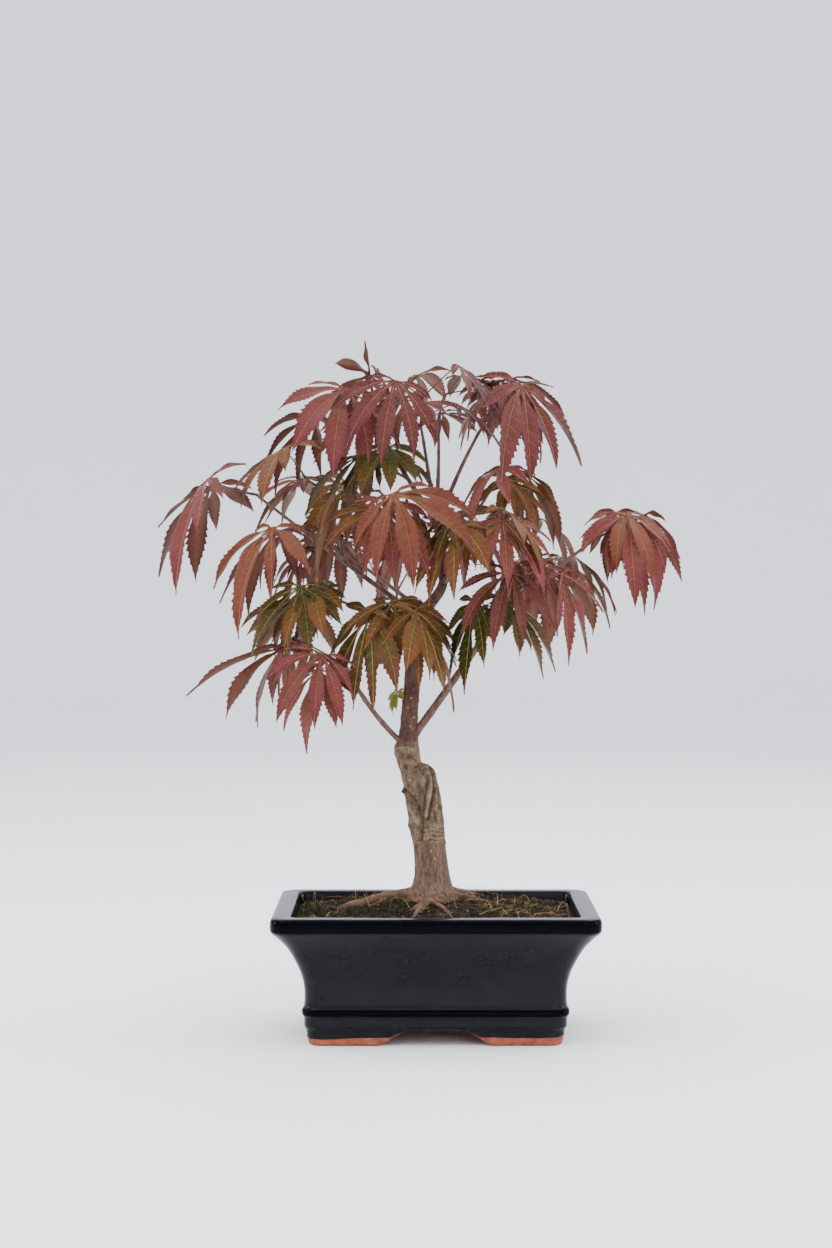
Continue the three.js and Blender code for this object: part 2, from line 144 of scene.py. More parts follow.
def noise(points, size, seed=0):
    """Smooth noise from -1 to 1 with features about `size` across (a number, or one per axis)."""
    q = np.asarray(points, float) / np.asarray(size, float)
    low = np.floor(q)
    f = smoothstep(q - low)
    total = np.zeros(q.shape[:-1])
    for corner in np.ndindex(2, 2, 2):
        offset = np.array(corner)
        share = np.prod(np.where(offset == 1, f, 1 - f), axis=-1)
        total += share * lattice(low + offset, seed)
    return total


# ---- meshes
TINT = "tint"


def paint(mesh, tints):
    """Gives each point a colour of its own, for a material that reads it."""
    layer = mesh.color_attributes.new(TINT, "FLOAT_COLOR", "POINT")
    layer.data.foreach_set("color", np.column_stack([tints, np.ones(len(tints))]).astype(np.float32).ravel())


def read(mesh, what):
    """The mesh's points or normals, a row to each."""
    values = np.empty(len(mesh.vertices) * 3, np.float32)
    mesh.vertices.foreach_get(what, values)
    return values.reshape(-1, 3)


class Skin:
    """Points and faces gathered piece by piece, each face with the number of its material."""

    def __init__(self):
        self.points, self.quads, self.tris = [], [], []
        self.quad_mats, self.tri_mats = [], []
        self.tints = []
        self.count = 0

    def add(self, points, quads=None, tris=None, mat=0, tri_mat=None, tint=(1, 1, 1)):
        points = np.asarray(points, float).reshape(-1, 3)
        self.points.append(points)
        self.tints.append(np.broadcast_to(np.asarray(tint, float), points.shape))
        for faces, store, mats, value in (
            (quads, self.quads, self.quad_mats, mat),
            (tris, self.tris, self.tri_mats, mat if tri_mat is None else tri_mat),
        ):
            if faces is not None and len(faces):
                faces = np.asarray(faces, np.int64) + self.count
                store.append(faces)
                mats.append(np.broadcast_to(np.asarray(value, np.int32), (len(faces),)))
        self.count += len(points)

    def stack(self, rings, first, last, mat=0, cap_mat=None):
        """A closed skin over the rings, with a point in the middle of the first and of the last."""
        count = rings.shape[1]
        total = rings.size // 3
        caps = np.vstack([fan(np.arange(count), total, flip=True),
                          fan(np.arange(count) + total - count, total + 1)])
        points = np.vstack([rings.reshape(-1, 3), first, last])
        self.add(points, grid_quads(len(rings), count, True), caps, mat, cap_mat)

    def build(self, name, materials, smooth=True, tinted=False):
        points = np.concatenate(self.points) * MM + ORIGIN
        quads = np.concatenate(self.quads) if self.quads else np.zeros((0, 4), np.int64)
        tris = np.concatenate(self.tris) if self.tris else np.zeros((0, 3), np.int64)
        mats = np.concatenate(self.quad_mats + self.tri_mats)
        mesh = bpy.data.meshes.new(name)
        mesh.vertices.add(len(points))
        mesh.vertices.foreach_set("co", points.astype(np.float32).ravel())
        loops = np.concatenate([quads.ravel(), tris.ravel()])
        sizes = np.concatenate([np.full(len(quads), 4), np.full(len(tris), 3)])
        mesh.loops.add(len(loops))
        mesh.loops.foreach_set("vertex_index", loops.astype(np.int32))
        mesh.polygons.add(len(sizes))
        starts = np.concatenate([[0], np.cumsum(sizes)[:-1]])
        mesh.polygons.foreach_set("loop_start", starts.astype(np.int32))
        mesh.polygons.foreach_set("material_index", mats.astype(np.int32))
        mesh.polygons.foreach_set("use_smooth", np.full(len(sizes), smooth))
        for material in materials:
            mesh.materials.append(material)
        mesh.update(calc_edges=True)
        mesh.validate()
        mesh.set_sharp_from_angle(angle=math.radians(SHARP))
        if tinted:
            paint(mesh, np.concatenate(self.tints))
        return put(name, mesh)


def grid_quads(rows, cols, closed):
    """Faces of a grid of points, row by row; closed joins the last column to the first."""
    r, c = np.meshgrid(np.arange(rows - 1), np.arange(cols if closed else cols - 1), indexing="ij")
    n = (c + 1) % cols
    return np.stack([r * cols + c, r * cols + n, (r + 1) * cols + n, (r + 1) * cols + c], -1).reshape(-1, 4)


def fan(ring, middle, flip=False):
    """Triangles from the ring's points to one in the middle."""
    ring = np.asarray(ring)
    after = np.roll(ring, -1)
    pair = (after, ring) if flip else (ring, after)
    return np.stack([pair[0], pair[1], np.full(len(ring), middle)], -1)


def spine(points, steps):
    """The points joined by a smooth curve, `steps` to a stretch."""
    p = np.asarray(points, float)
    padded = np.vstack([2 * p[0] - p[1], p, 2 * p[-1] - p[-2]])
    out = []
    for k in range(1, len(padded) - 2):
        a, b, c, d = padded[k - 1:k + 3]
        for t in np.arange(steps) / steps:
            out.append(0.5 * (2 * b + (c - a) * t + (2 * a - 5 * b + 4 * c - d) * t ** 2
                              + (3 * b - a - 3 * c + d) * t ** 3))
    out.append(padded[-2])
    return np.array(out)


def tube(skin, points, radii, sides, mat=0, relief=None):
    """A closed limb through the points, with a radius at each."""
    points = np.asarray(points, float)
    radii = np.broadcast_to(np.asarray(radii, float), (len(points),))
    run = unit(np.gradient(points, axis=0))
    across = np.array([0.3, 1.0, 0.2])
    turns = turns_of(sides)[:, None]
    out = []
    for way in run:
        across = unit(across - way * across.dot(way))
        out.append(np.cos(turns) * across + np.sin(turns) * np.cross(way, across))
    out = np.array(out)
    where = points[:, None] + out * radii[:, None, None]
    if relief is not None:
        where = where + out * relief(where)[..., None]
    skin.stack(where, points[0], points[-1] + run[-1] * radii[-1] * 0.4, mat)


# ---- materials
def linear(colour):
    """A colour of 0 to 255 a channel as the shader wants it."""
    c = np.asarray(colour, float) / 255
    return tuple(np.where(c <= 0.04045, c / 12.92, ((c + 0.055) / 1.055) ** 2.4)) + (1.0,)


def socket(material, name):
    """The shader's own input of this name."""
    return material.node_tree.nodes["Principled BSDF"].inputs[name]


def surface(name, colour, rough, specular=0.5):
    """A material, with what is the same all over it set on the shader itself."""
    material = bpy.data.materials.new(name)
    material.use_nodes = True
    socket(material, "Base Color").default_value = linear(colour)
    socket(material, "Roughness").default_value = rough
    socket(material, "Specular IOR Level").default_value = specular
    return material


def node(material, kind, **values):
    """A new node; each value goes to the node itself or to its input of that name."""
    made = material.node_tree.nodes.new(kind)
    for key, value in values.items():
        if hasattr(made, key):
            setattr(made, key, value)
        else:
            made.inputs[key.replace("_", " ")].default_value = value
    return made


def link(material, source, target):
    """Joins a node's output to another's input."""
    material.node_tree.links.new(source, target)


def patchy(material, size, detail, rough, stretch):
    """Noise in patches about `size` millimetres across, longer along an axis whose stretch is small."""
    where = node(material, "ShaderNodeTexCoord")
    mapping = node(material, "ShaderNodeMapping", Scale=stretch)
    patches = node(material, "ShaderNodeTexNoise", Scale=1000.0 / size, Detail=detail, Roughness=rough)
    link(material, where.outputs["Object"], mapping.inputs["Vector"])
    link(material, mapping.outputs["Vector"], patches.inputs["Vector"])
    return patches.outputs["Fac"]


def mottle(material, colours, size, detail=4.0, stretch=(1, 1, 1), contrast=(0.3, 0.7)):
    """The base colour wanders between the colours, in patches about `size` millimetres across."""
    ramp = node(material, "ShaderNodeValToRGB")
    stops = np.linspace(contrast[0], contrast[1], len(colours))
    while len(ramp.color_ramp.elements) < len(colours):
        ramp.color_ramp.elements.new(0.5)
    for stop, element, colour in zip(stops, ramp.color_ramp.elements, colours):
        element.position = stop
        element.color = linear(colour)
    link(material, patchy(material, size, detail, 0.6, stretch), ramp.inputs["Fac"])
    link(material, ramp.outputs["Color"], socket(material, "Base Color"))


def tinted(material, size, low, high, stretch=(1, 1, 1)):
    """The base colour is the points' own, lighter and darker in patches about `size` across."""
    own = node(material, "ShaderNodeAttribute", attribute_name=TINT)
    patches = patchy(material, size, 5.0, 0.6, stretch)
    level = node(material, "ShaderNodeMapRange", From_Min=0.3, From_Max=0.7, To_Min=low, To_Max=high)
    scaled = node(material, "ShaderNodeVectorMath", operation="SCALE")
    link(material, patches, level.inputs["Value"])
    link(material, own.outputs["Color"], scaled.inputs[0])
    link(material, level.outputs["Result"], scaled.inputs["Scale"])
    link(material, scaled.outputs["Vector"], socket(material, "Base Color"))
    return patches


def uneven_gloss(material, patches, low, high):
    """The roughness goes from low to high with the patches."""
    level = node(material, "ShaderNodeMapRange", To_Min=low, To_Max=high)
    link(material, patches, level.inputs["Value"])
    link(material, level.outputs["Result"], socket(material, "Roughness"))


def bumpy(material, size, depth, detail=4.0, stretch=(1, 1, 1)):
    """A fine relief of `depth` millimetres, in bumps about `size` across."""
    bump = node(material, "ShaderNodeBump", Strength=1.0, Distance=depth * MM)
    link(material, patchy(material, size, detail, 0.55, stretch), bump.inputs["Height"])
    link(material, bump.outputs["Normal"], socket(material, "Normal"))


def surfaces(name, colours, rough, specular):
    """A material for each of the colours."""
    return [surface("%s_%d" % (name, k), colour, rough, specular) for k, colour in enumerate(colours)]


GLAZE = surface("glaze", (11, 12, 17), 0.2, 0.135)
mottle(GLAZE, [(9, 9, 14), (11, 11, 17), (14, 14, 20), (27, 28, 34)], 15, contrast=(0.25, 0.82))
bumpy(GLAZE, 15, 0.16, detail=1)
# Rim and bead: a darker, less reflective copy of the glaze, painted as the dark reflection of the room in
# front.
GLAZE_PAINTED_DARK = surface("glaze_painted_dark_reflection", (2, 2, 6), 0.09, 0.032)
bumpy(GLAZE_PAINTED_DARK, 7, 0.2, detail=2)
WORN_EDGE = surface("worn_edge", (150, 112, 98), 0.32, 0.4)
mottle(WORN_EDGE, [(56, 42, 40), (126, 94, 84), (168, 132, 118)], 6)
CLAY = surface("clay", (150, 96, 78), 0.85, 0.3)
mottle(CLAY, [(113, 57, 40), (142, 76, 54), (161, 93, 69)], 5)
bumpy(CLAY, 0.8, 0.12)
EARTH = surface("earth", (62, 46, 34), 0.95, 0.2)
mottle(EARTH, [(9, 8, 6), (27, 21, 15), (68, 53, 36)], 3)
bumpy(EARTH, 1.2, 0.5)
GRIT = surfaces("grit", [(30, 22, 16), (52, 40, 28), (122, 98, 66), (18, 14, 11), (78, 56, 38)], 0.9, 0.25)
MOSS = surfaces("moss", [(11, 15, 7), (25, 31, 11), (60, 62, 24)], 0.85, 0.2)
STRAW = surfaces("straw", [(156, 126, 84), (112, 82, 52), (70, 48, 31)], 0.7, 0.3)
OLD_BARK = surface("old_bark", (126, 98, 79), 0.88, 0.25)
tinted(OLD_BARK, 1.5, 0.53, 1.04, (1, 1, 0.4))
bumpy(OLD_BARK, 0.7, 0.2, stretch=(1, 1, 0.5))
YOUNG_BARK = surface("young_bark", (97, 69, 59), 0.62, 0.35)
mottle(YOUNG_BARK, [(64, 41, 35), (88, 59, 50), (112, 83, 70)], 3.2, stretch=(1, 1, 0.45))
bumpy(YOUNG_BARK, 0.9, 0.12)
TWIG = surface("twig", (66, 38, 32), 0.6, 0.3)
STALK = surface("leaf_stalk", (96, 44, 38), 0.5, 0.3)
LEAF = surface("leaf", (91, 37, 38), 0.5, 0.17)
uneven_gloss(LEAF, tinted(LEAF, 2.4, 0.82, 1.1), 0.4, 0.62)
bumpy(LEAF, 0.9, 0.09, detail=3)
VEIN = surface("vein", (150, 92, 78), 0.5, 0.3)
tinted(VEIN, 1.5, 0.9, 1.1)
VEIN_TONES = {"red": (150, 98, 80), "pale": (146, 122, 70)}
# Leaf tints from the hub outwards, and of the young leaf low on the trunk.
TINTS = {
    "crimson": [(92, 54, 26), (103, 50, 38), (104, 45, 43), (90, 31, 34)],
    "maroon": [(80, 46, 23), (88, 42, 32), (89, 38, 37), (74, 25, 30)],
    "rust": [(90, 62, 24), (101, 58, 29), (104, 50, 33), (92, 36, 28)],
    "bronze": [(82, 65, 20), (96, 63, 22), (101, 57, 28), (89, 37, 22)],
    "olive": [(58, 58, 14), (65, 57, 15), (80, 54, 18), (83, 37, 20)],
    "green": [(50, 65, 14), (58, 62, 15), (71, 55, 17), (76, 39, 18)],
}
YOUNG_LEAF = [(104, 108, 28), (124, 116, 40), (128, 98, 44)]


# ---- pot
DEPTH_INSET = 25
FOOT_INSIDE = 75
FOOT_BAND = 11.2
GLAZE_LINE = 5.5
GLAZE_THICK = 0.28
GLAZE_LIP = 0.22
# Where the pot's materials lie: inside the foot up to this half-width and on the last rows inside the
# wall the clay is bare. The rim (height, half-width) and the bead (two heights, half-width) are
# glossier and painted darker than the body, a painted dark reflection of the room in front, and the
# glaze is worn off the rim's inner edge (height, half-width) in front.
FOOT_BARE = 69.5
WALL_BARE_ROWS = 5
RIM_FROM = (71.4, 99)
BEAD_AT = (18.6, 22.6, 80.6)
WORN_FROM = (79.1, 89.3)
GLAZED, BARE, GLOSSY_PAINTED_DARK, WORN = range(4)
ARCH_HEIGHT = 9.3
FRONT_ARCH = (42, 13)
SIDE_ARCH = (26, 7)
# Half-width, height and corner radius: up the inside of the foot, up the outside, down the inside.
POT_PROFILE = [
    (60, 11, 4), (66.4, 11, 4), (67.2, 10, 4), (68, 1.2, 5), (69, 0.2, 5), (70, 0, 5), (75.4, 0, 7.4),
    (76.8, 0.3, 8), (77.7, 1.6, 9), (78.2, 5.5, 9), (78.7, 9.8, 9), (79.6, 11.0, 9), (80, 11.8, 9),
    (80, 17.0, 9), (80.6, 18.0, 9.2), (81.5, 19.2, 9.5), (81.5, 21.9, 9.5), (80.5, 23.2, 9.2),
    (79.9, 24.4, 9), (79.8, 35, 9), (81.8, 44, 9), (85.3, 52, 9), (89.5, 60, 9.5), (94.5, 66, 10),
    (97.6, 69, 10.5), (99.4, 70.6, 11), (100, 72.2, 11), (100, 77.0, 11), (99.4, 79.0, 11),
    (97.8, 80, 10.6), (91, 80, 7), (88.6, 79.8, 6.2), (87.6, 78.6, 6), (86.9, 72, 6), (86.3, 64, 6),
]
SIDE_COLUMNS = (110, 76)
CORNER_COLUMNS = 12
ROW_STEP = 0.8


def rounded_off(rows, passes):
    """The rows with their corners cut again and again, so that the line turns softly."""
    rows = np.asarray(rows, float)
    for _ in range(passes):
        near, far = rows[:-1] * 0.75 + rows[1:] * 0.25, rows[:-1] * 0.25 + rows[1:] * 0.75
        inner = np.stack([near, far], 1).reshape(-1, rows.shape[1])
        rows = np.vstack([rows[:1], inner[1:-1], rows[-1:]])
    return rows


def evenly(rows, step):
    """The line again, with a point every `step` along its first two coordinates."""
    run = run_along(rows[:, :2])
    return between(np.linspace(0, run[-1], int(run[-1] / step) + 1), run, rows)


def box_ring(half_x, half_y, corner):
    """Points round a rectangle with round corners, with the side that each lies on (-1 at a corner)."""
    marks = []
    for k, (sx, sy) in enumerate([(1, 1), (-1, 1), (-1, -1), (1, -1)]):
        turn = np.radians(90 * k + 90 * np.arange(CORNER_COLUMNS + 1) / CORNER_COLUMNS)
        middle = np.array([sx * (half_x - corner), sy * (half_y - corner)])
        marks.append(middle + corner * np.stack([np.cos(turn), np.sin(turn)], 1))
    points, sides = [], []
    for k in range(4):
        points.append(marks[k])
        sides.append(np.full(len(marks[k]), -1))
        count = SIDE_COLUMNS[k % 2]
        share = (np.arange(1, count) / count)[:, None]
        points.append(marks[k][-1] * (1 - share) + marks[(k + 1) % 4][0] * share)
        sides.append(np.full(count - 1, k % 2))
    return np.vstack(points), np.concatenate(sides)


def arch_height(x, foot, flat):
    """How high the foot is cut away, `x` from the middle of its side."""
    t = np.linspace(0, 1, 60)
    bend = (foot + flat) / 2
    across = foot * (1 - t) ** 3 + 3 * bend * t * (1 - t) + flat * t ** 3
    rise = -((1 - t) ** 3) - 3 * t * (1 - t) ** 2 + ARCH_HEIGHT * (3 * t * t * (1 - t) + t ** 3)
    return np.maximum(np.interp(np.abs(x), across[::-1], rise[::-1]), 0)


def make_pot():
    """The glazed body on its bare clay foot: one outline carried round the pot."""
    rows = evenly(rounded_off(POT_PROFILE, 3), ROW_STEP)
    rings = []
    for half, height, corner in rows:
        ring, sides = box_ring(half, half - DEPTH_INSET, corner)
        cut = np.where(sides == 0, arch_height(ring[:, 0], *FRONT_ARCH),
                       np.where(sides == 1, arch_height(ring[:, 1], *SIDE_ARCH), 0))
        flat = np.column_stack([ring, np.zeros(len(ring))])
        line = np.maximum(GLAZE_LINE + 1.1 * noise(flat, 34, 3) + 0.35 * noise(flat, 7, 4),
                          cut + 0.9 - 0.7 * smoothstep((cut - 5) / 4))
        z = np.full(len(ring), height)
        if height <= GLAZE_LINE:
            z = cut + (line - cut) * height / GLAZE_LINE
        elif height < FOOT_BAND:
            z = line + (FOOT_BAND - line) * (height - GLAZE_LINE) / (FOOT_BAND - GLAZE_LINE)
        rings.append(np.column_stack([ring, z]))
    where = np.array(rings)
    outside = np.arange(len(rows)) > np.argmax(rows[:, 0] > FOOT_INSIDE)
    glazed = outside & (rows[:, 1] > GLAZE_LINE)
    lip = np.where(glazed & (rows[:, 1] < GLAZE_LINE + 1.5), GLAZE_LIP, 0)
    waver = 0.16 * noise(where, (26, 26, 18), 8) + 0.05 * noise(where, 6, 9)
    proud = np.where(glazed, 0, -GLAZE_THICK)[:, None] + lip[:, None] + waver
    where = where + unit(where * (1, 1, 0)) * proud[..., None]
    half, height, _ = (rows[:-1].T + rows[1:].T) / 2
    inner = np.arange(len(height)) > len(rows) - WALL_BARE_ROWS
    bare = (height < GLAZE_LINE) | (half < FOOT_BARE) | inner
    rim = (height > RIM_FROM[0]) & (half > RIM_FROM[1])
    bead = (height > BEAD_AT[0]) & (height < BEAD_AT[1]) & (half > BEAD_AT[2])
    worn = (height > WORN_FROM[0]) & (half < WORN_FROM[1])
    front = (sides == 0) & (ring[:, 1] < 0)
    # The rim and the bead take the glaze painted darker, a painted dark reflection of the room in front.
    mats = np.repeat(np.where(bare, BARE, np.where(rim | bead, GLOSSY_PAINTED_DARK, GLAZED)), len(ring))
    mats[(worn[:, None] & front).ravel()] = WORN
    skin = Skin()
    skin.stack(where, (0, 0, where[0, 0, 2]), (0, 0, where[-1, 0, 2]), mats, BARE)
    piece = skin.build("pot_body", [GLAZE, CLAY, GLAZE_PAINTED_DARK, WORN_EDGE])
    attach(piece, "root")
    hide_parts("pot")


# ---- soil
SOIL_HALF = (86.7, 61.7)
SOIL_FOOT = 66
SOIL_EDGE = 72.5
SOIL_TOP = 83.2
# How far from the middle, and how much of the mound's height is left there.
SOIL_SHARES = [(0.28, 1.0), (0.42, 0.86), (0.6, 0.62), (0.82, 0.28), (0.96, 0.12), (1.0, 0.0)]
SOIL_RINGS = 118


def soil_height(x, y):
    """The soil's surface over the point (x, y)."""
    x, y = np.asarray(x, float), np.asarray(y, float)
    share = np.maximum(np.abs(x) / SOIL_HALF[0], np.abs(y) / SOIL_HALF[1])
    rise = np.interp(share, *zip(*SOIL_SHARES))
    flat = np.stack([x, y, np.zeros_like(x)], -1)
    calm = smoothstep((1 - share) / 0.08)
    lumps = 0.9 * noise(flat, 9, 21) + 0.55 * noise(flat, 3.6, 22) + 0.3 * noise(flat, 1.5, 23)
    return SOIL_EDGE + (SOIL_TOP - SOIL_EDGE) * rise + lumps * calm - 0.4


def make_soil():
    """The lumpy surface of the soil, with its edge down inside the pot."""
    rings = []
    for share in np.linspace(1, 0.02, SOIL_RINGS):
        corner = 6 * share + 14 * (1 - share) * share
        ring, _ = box_ring(SOIL_HALF[0] * share, SOIL_HALF[1] * share, corner)
        rings.append(np.column_stack([ring, soil_height(ring[:, 0], ring[:, 1])]))
    where = np.array([rings[0] * (1, 1, 0) + (0, 0, SOIL_FOOT)] + rings)
    skin = Skin()
    skin.stack(where, (0, 0, SOIL_FOOT), (0, 0, where[-1, :, 2].mean()))
    piece = skin.build("soil_surface", [EARTH])
    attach(piece, "root")
    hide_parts("soil")


GRAIN_SHAPE = np.array([(1, 0, 0), (-1, 0, 0), (0, 1, 0), (0, -1, 0), (0, 0, 1), (0, 0, -1)], float)
GRAIN_FACES = [(0, 2, 4), (2, 1, 4), (1, 3, 4), (3, 0, 4), (2, 0, 5), (1, 2, 5), (3, 1, 5), (0, 3, 5)]
TUFT_FACES = [(0, 2, 1), (0, 1, 3), (1, 2, 3), (2, 0, 3)]
GRAINS, TUFTS, STRAWS, STANDING_STRAWS = 2600, 6400, 290, 18
STRAW_LIMIT = np.array([83.5, 58.5])


def on_soil(draw):
    """A place on the soil, clear of the pot's wall."""
    x = draw(-1, 1) * (SOIL_HALF[0] - 2)
    y = draw(-1, 1) * (SOIL_HALF[1] - 2)
    return np.array([x, y, float(soil_height(x, y))])


def lay_grains(skin, draw):
    """Crumbs of soil, each an eight-sided lump turned its own way."""
    for _ in range(GRAINS):
        middle = on_soil(draw)
        size = 0.35 + 1.0 * draw() ** 3
        shape = GRAIN_SHAPE * [size * draw(0.7, 1.3) for _ in range(3)]
        turn = heading(draw(0, 360), draw(-60, 60))
        side = unit(np.cross(turn, (0, 0, 1)))
        basis = np.array([turn, side, np.cross(turn, side)])
        skin.add(middle + shape @ basis, tris=GRAIN_FACES, mat=int(draw(0, len(GRIT))))


def lay_moss(skin, draw):
    """Tufts of three blades each, in patches."""
    for _ in range(TUFTS):
        middle = on_soil(draw)
        if noise(middle * (1, 1, 0), 24, 40) + draw(-0.35, 0.35) < -0.38:
            continue
        tone = int(draw(0, len(MOSS)))
        for _ in range(3):
            tip = middle + heading(draw(0, 360), draw(35, 85)) * draw(0.9, 2.3)
            spread = heading(draw(0, 360), 0) * draw(0.22, 0.42)
            across = 0.87 * np.cross(spread, (0, 0, 1))
            root = middle - (0, 0, 0.4)
            back = root - 0.5 * spread
            skin.add([root + spread, back + across, back - across, tip], tris=TUFT_FACES, mat=tone)


def lay_straw(skin, draw):
    """Straws that lie on the soil, more of them in front and to the right, and a few that stand."""
    for k in range(STRAWS):
        start = on_soil(draw)
        fine = k % 4 == 0
        if not fine and k % 3:
            start[0] = draw(38, 84) if k % 2 else draw(-80, 84)
            start[1] = draw(-59, 20)
        bearing = draw(0, 360)
        length = draw(3, 9) if fine else draw(5, 26)
        lift = draw(0.2, 1.2) if k % 6 else draw(2.5, 7)
        bend = draw(-70, 70)
        path = []
        spot = start[:2]
        for share in np.arange(9) / 8:
            spot = spot + heading(bearing + bend * share, 0)[:2] * length / 8
            spot = np.clip(spot, -STRAW_LIMIT, STRAW_LIMIT)
            arc = lift * math.sin(math.pi * min(1, share * draw(0.9, 1.1)))
            path.append([spot[0], spot[1], float(soil_height(*spot)) + 0.15 + arc])
        path = np.array(path)
        if np.linalg.norm(path[-1] - path[0]) < 2:
            continue
        thick = draw(0.11, 0.25)
        tube(skin, path, np.linspace(thick, thick * 0.5, 9), 4, mat=int(draw(0, len(STRAW))))
    for _ in range(STANDING_STRAWS):
        foot = on_soil(draw) - (0, 0, 0.6)
        tip = foot + heading(draw(0, 360), draw(45, 86)) * draw(4, 11)
        lean = (foot + tip) / 2 + heading(draw(0, 360), 0) * draw(0, 2)
        tube(skin, bent(foot, lean, tip, 7), np.linspace(0.22, 0.1, 8), 4, mat=int(draw(0, len(STRAW))))


def make_litter():
    """Grains of soil, tufts of moss and straw on the soil."""
    for name, lay, seed, materials, slot in (
        ("soil_grains", lay_grains, 31, GRIT, "soil"),
        ("moss_tufts", lay_moss, 32, MOSS, "moss"),
        ("straw_litter", lay_straw, 33, STRAW, "soil"),
    ):
        skin = Skin()
        lay(skin, seeded(seed))
        piece = skin.build(name, materials, smooth=lay is lay_straw)
        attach(piece, "root")


# ---- trunk and surface roots
# Middle and radius of the sections of the old stock, of the graft on it, and of the leader.
STOCK = [
    (-1, 0, 79, 15.2), (-1, 0, 84, 13.6), (-1.4, 0, 90, 12), (-2, 0, 101, 10.8), (-3.3, 0, 116, 10.2),
    (-5.2, 0, 129, 11), (-7.5, 0, 147.6, 10.8), (-10, 0, 158, 10.6), (-10.6, 0, 163, 9.8),
    (-11, 0, 166.5, 7.4), (-11.4, 0, 168.3, 4),
]
SCION = [
    (-9.5, 0, 135, 7.6), (-12, 0, 150, 7.4), (-14.3, 0, 162, 7.2), (-16.5, 0, 170, 7.5), (-17.6, 0, 177, 8),
    (-17.2, 0, 182, 7), (-16.6, 0, 188, 5.8), (-16, 1, 200, 5.3), (-14.2, 2, 220, 5.1),
    (-12.6, 2, 245, 5.1), (-11.9, 2, 258, 4.6), (-11.5, 2, 266, 4), (-11.2, 2, 270, 3),
]
LEADER = [
    (-17.5, 0, 176, 6), (-16.5, 0, 186, 5), (-16, 1, 200, 4.6), (-14.2, 2, 220, 4.4), (-12.6, 2, 245, 4.2),
    (-7, 2, 262, 3.8), (4.5, 2, 279, 3.1), (4.8, 1, 300, 2.7), (-1, 0, 322, 2.3),
]
# Bearing of each swelling over a root, and how far it stands out.
FLARE = [(185, 4.6), (262, 4.2), (352, 3), (45, 4), (130, 4), (225, 2), (305, 2)]
FLARE_HEIGHT = 18
# Points on each root, and its radius at both ends.
ROOTS = [
    ([(-9, -1, 88), (-37, -5, 83.8), (-62, -5, 77)], 3.4, 1.9),
    ([(-3, -8, 87.4), (-6, -26, 82.8), (-14, -45, 77)], 2.9, 1.1),
    ([(-4, -18, 84.8), (2, -28, 82), (9, -38, 79)], 2.1, 1.0),
    ([(8, -2, 87), (28, -5, 82.6), (51, -5, 77.4)], 2.4, 1.2),
    ([(6, 7, 88), (22, 25, 82.4), (36, 36, 78)], 3.1, 1.4),
    ([(-7, 7, 88), (-22, 24, 82.8), (-36, 38, 77.6)], 3.0, 1.4),
]
ROOTLETS = [
    ([(-28, -4, 85), (-40, -14, 80), (-54, -22, 76.5)], 1.3, 0.7),
    ([(-7, -25, 83.5), (-18, -33, 79.5), (-30, -37, 76.8)], 1.2, 0.6),
    ([(24, -4, 83.6), (36, -16, 79.6), (48, -24, 76.6)], 1.1, 0.6),
    ([(-20, 20, 83.5), (-38, 22, 79), (-52, 27, 76)], 1.2, 0.6),
    ([(16, 17, 84), (34, 18, 79.8), (50, 22, 76.5)], 1.1, 0.6),
]
BARK_VOXEL = 0.55
STOCK_TONES = [(88, 67, 53), (112, 90, 74), (130, 109, 92)]
ROOT_TONES = [(82, 58, 44), (110, 81, 63), (134, 104, 82)]
GRAFT_TONES = [(72, 54, 40), (96, 77, 60), (111, 91, 71), (130, 112, 90)]
UPPER_TONES = [(66, 42, 36), (93, 65, 55), (110, 80, 68)]
RUST, SEAM, FOLD, KNOB = (108, 70, 42), (52, 33, 24), (142, 127, 103), (58, 34, 30)
SPECK, DOT = (176, 168, 150), (138, 112, 92)


def trunk_tube(skin, rows, sides, flare):
    """A stack of round sections through the rows, which may swell over the roots near the soil."""
    line = spine(rows, 6)
    turns = turns_of(sides)
    rings = []
    for x, y, z, radius in line:
        reach = np.full(sides, radius)
        if flare:
            near = max(0, 1 - (z - SOIL_TOP) / FLARE_HEIGHT) ** 2
            for bearing, spread in FLARE:
                reach += spread * near * np.maximum(0, np.cos(turns - math.radians(bearing))) ** 7
        ring = [x + reach * np.cos(turns), y + reach * np.sin(turns), np.full(sides, z)]
        rings.append(np.column_stack(ring))
    skin.stack(np.array(rings), line[0, :3], line[-1, :3] + (0, 0, 0.5))


def bump_at(where, middle, size, height):
    """A soft knob on the surface."""
    return height * np.exp(-np.sum(((where - middle) / size) ** 2, axis=1))


def near_line(where, path, width, front=1):
    """1 on the line through the (x, z) points as the front (or back, -1) shows it, less beside it."""
    line = spine(np.array([(x, 0, z) for x, z in path], float), 5)[:, ::2]
    spot = where[:, ::2]
    gap = np.full(len(where), 1e9)
    for start, end in zip(line[:-1], line[1:]):
        run = end - start
        share = np.clip((spot - start) @ run / (run @ run), 0, 1)
        gap = np.minimum(gap, np.linalg.norm(spot - start - share[:, None] * run, axis=1))
    return np.exp(-((gap / width) ** 2)) * smoothstep(0.4 - front * where[:, 1] / 3)


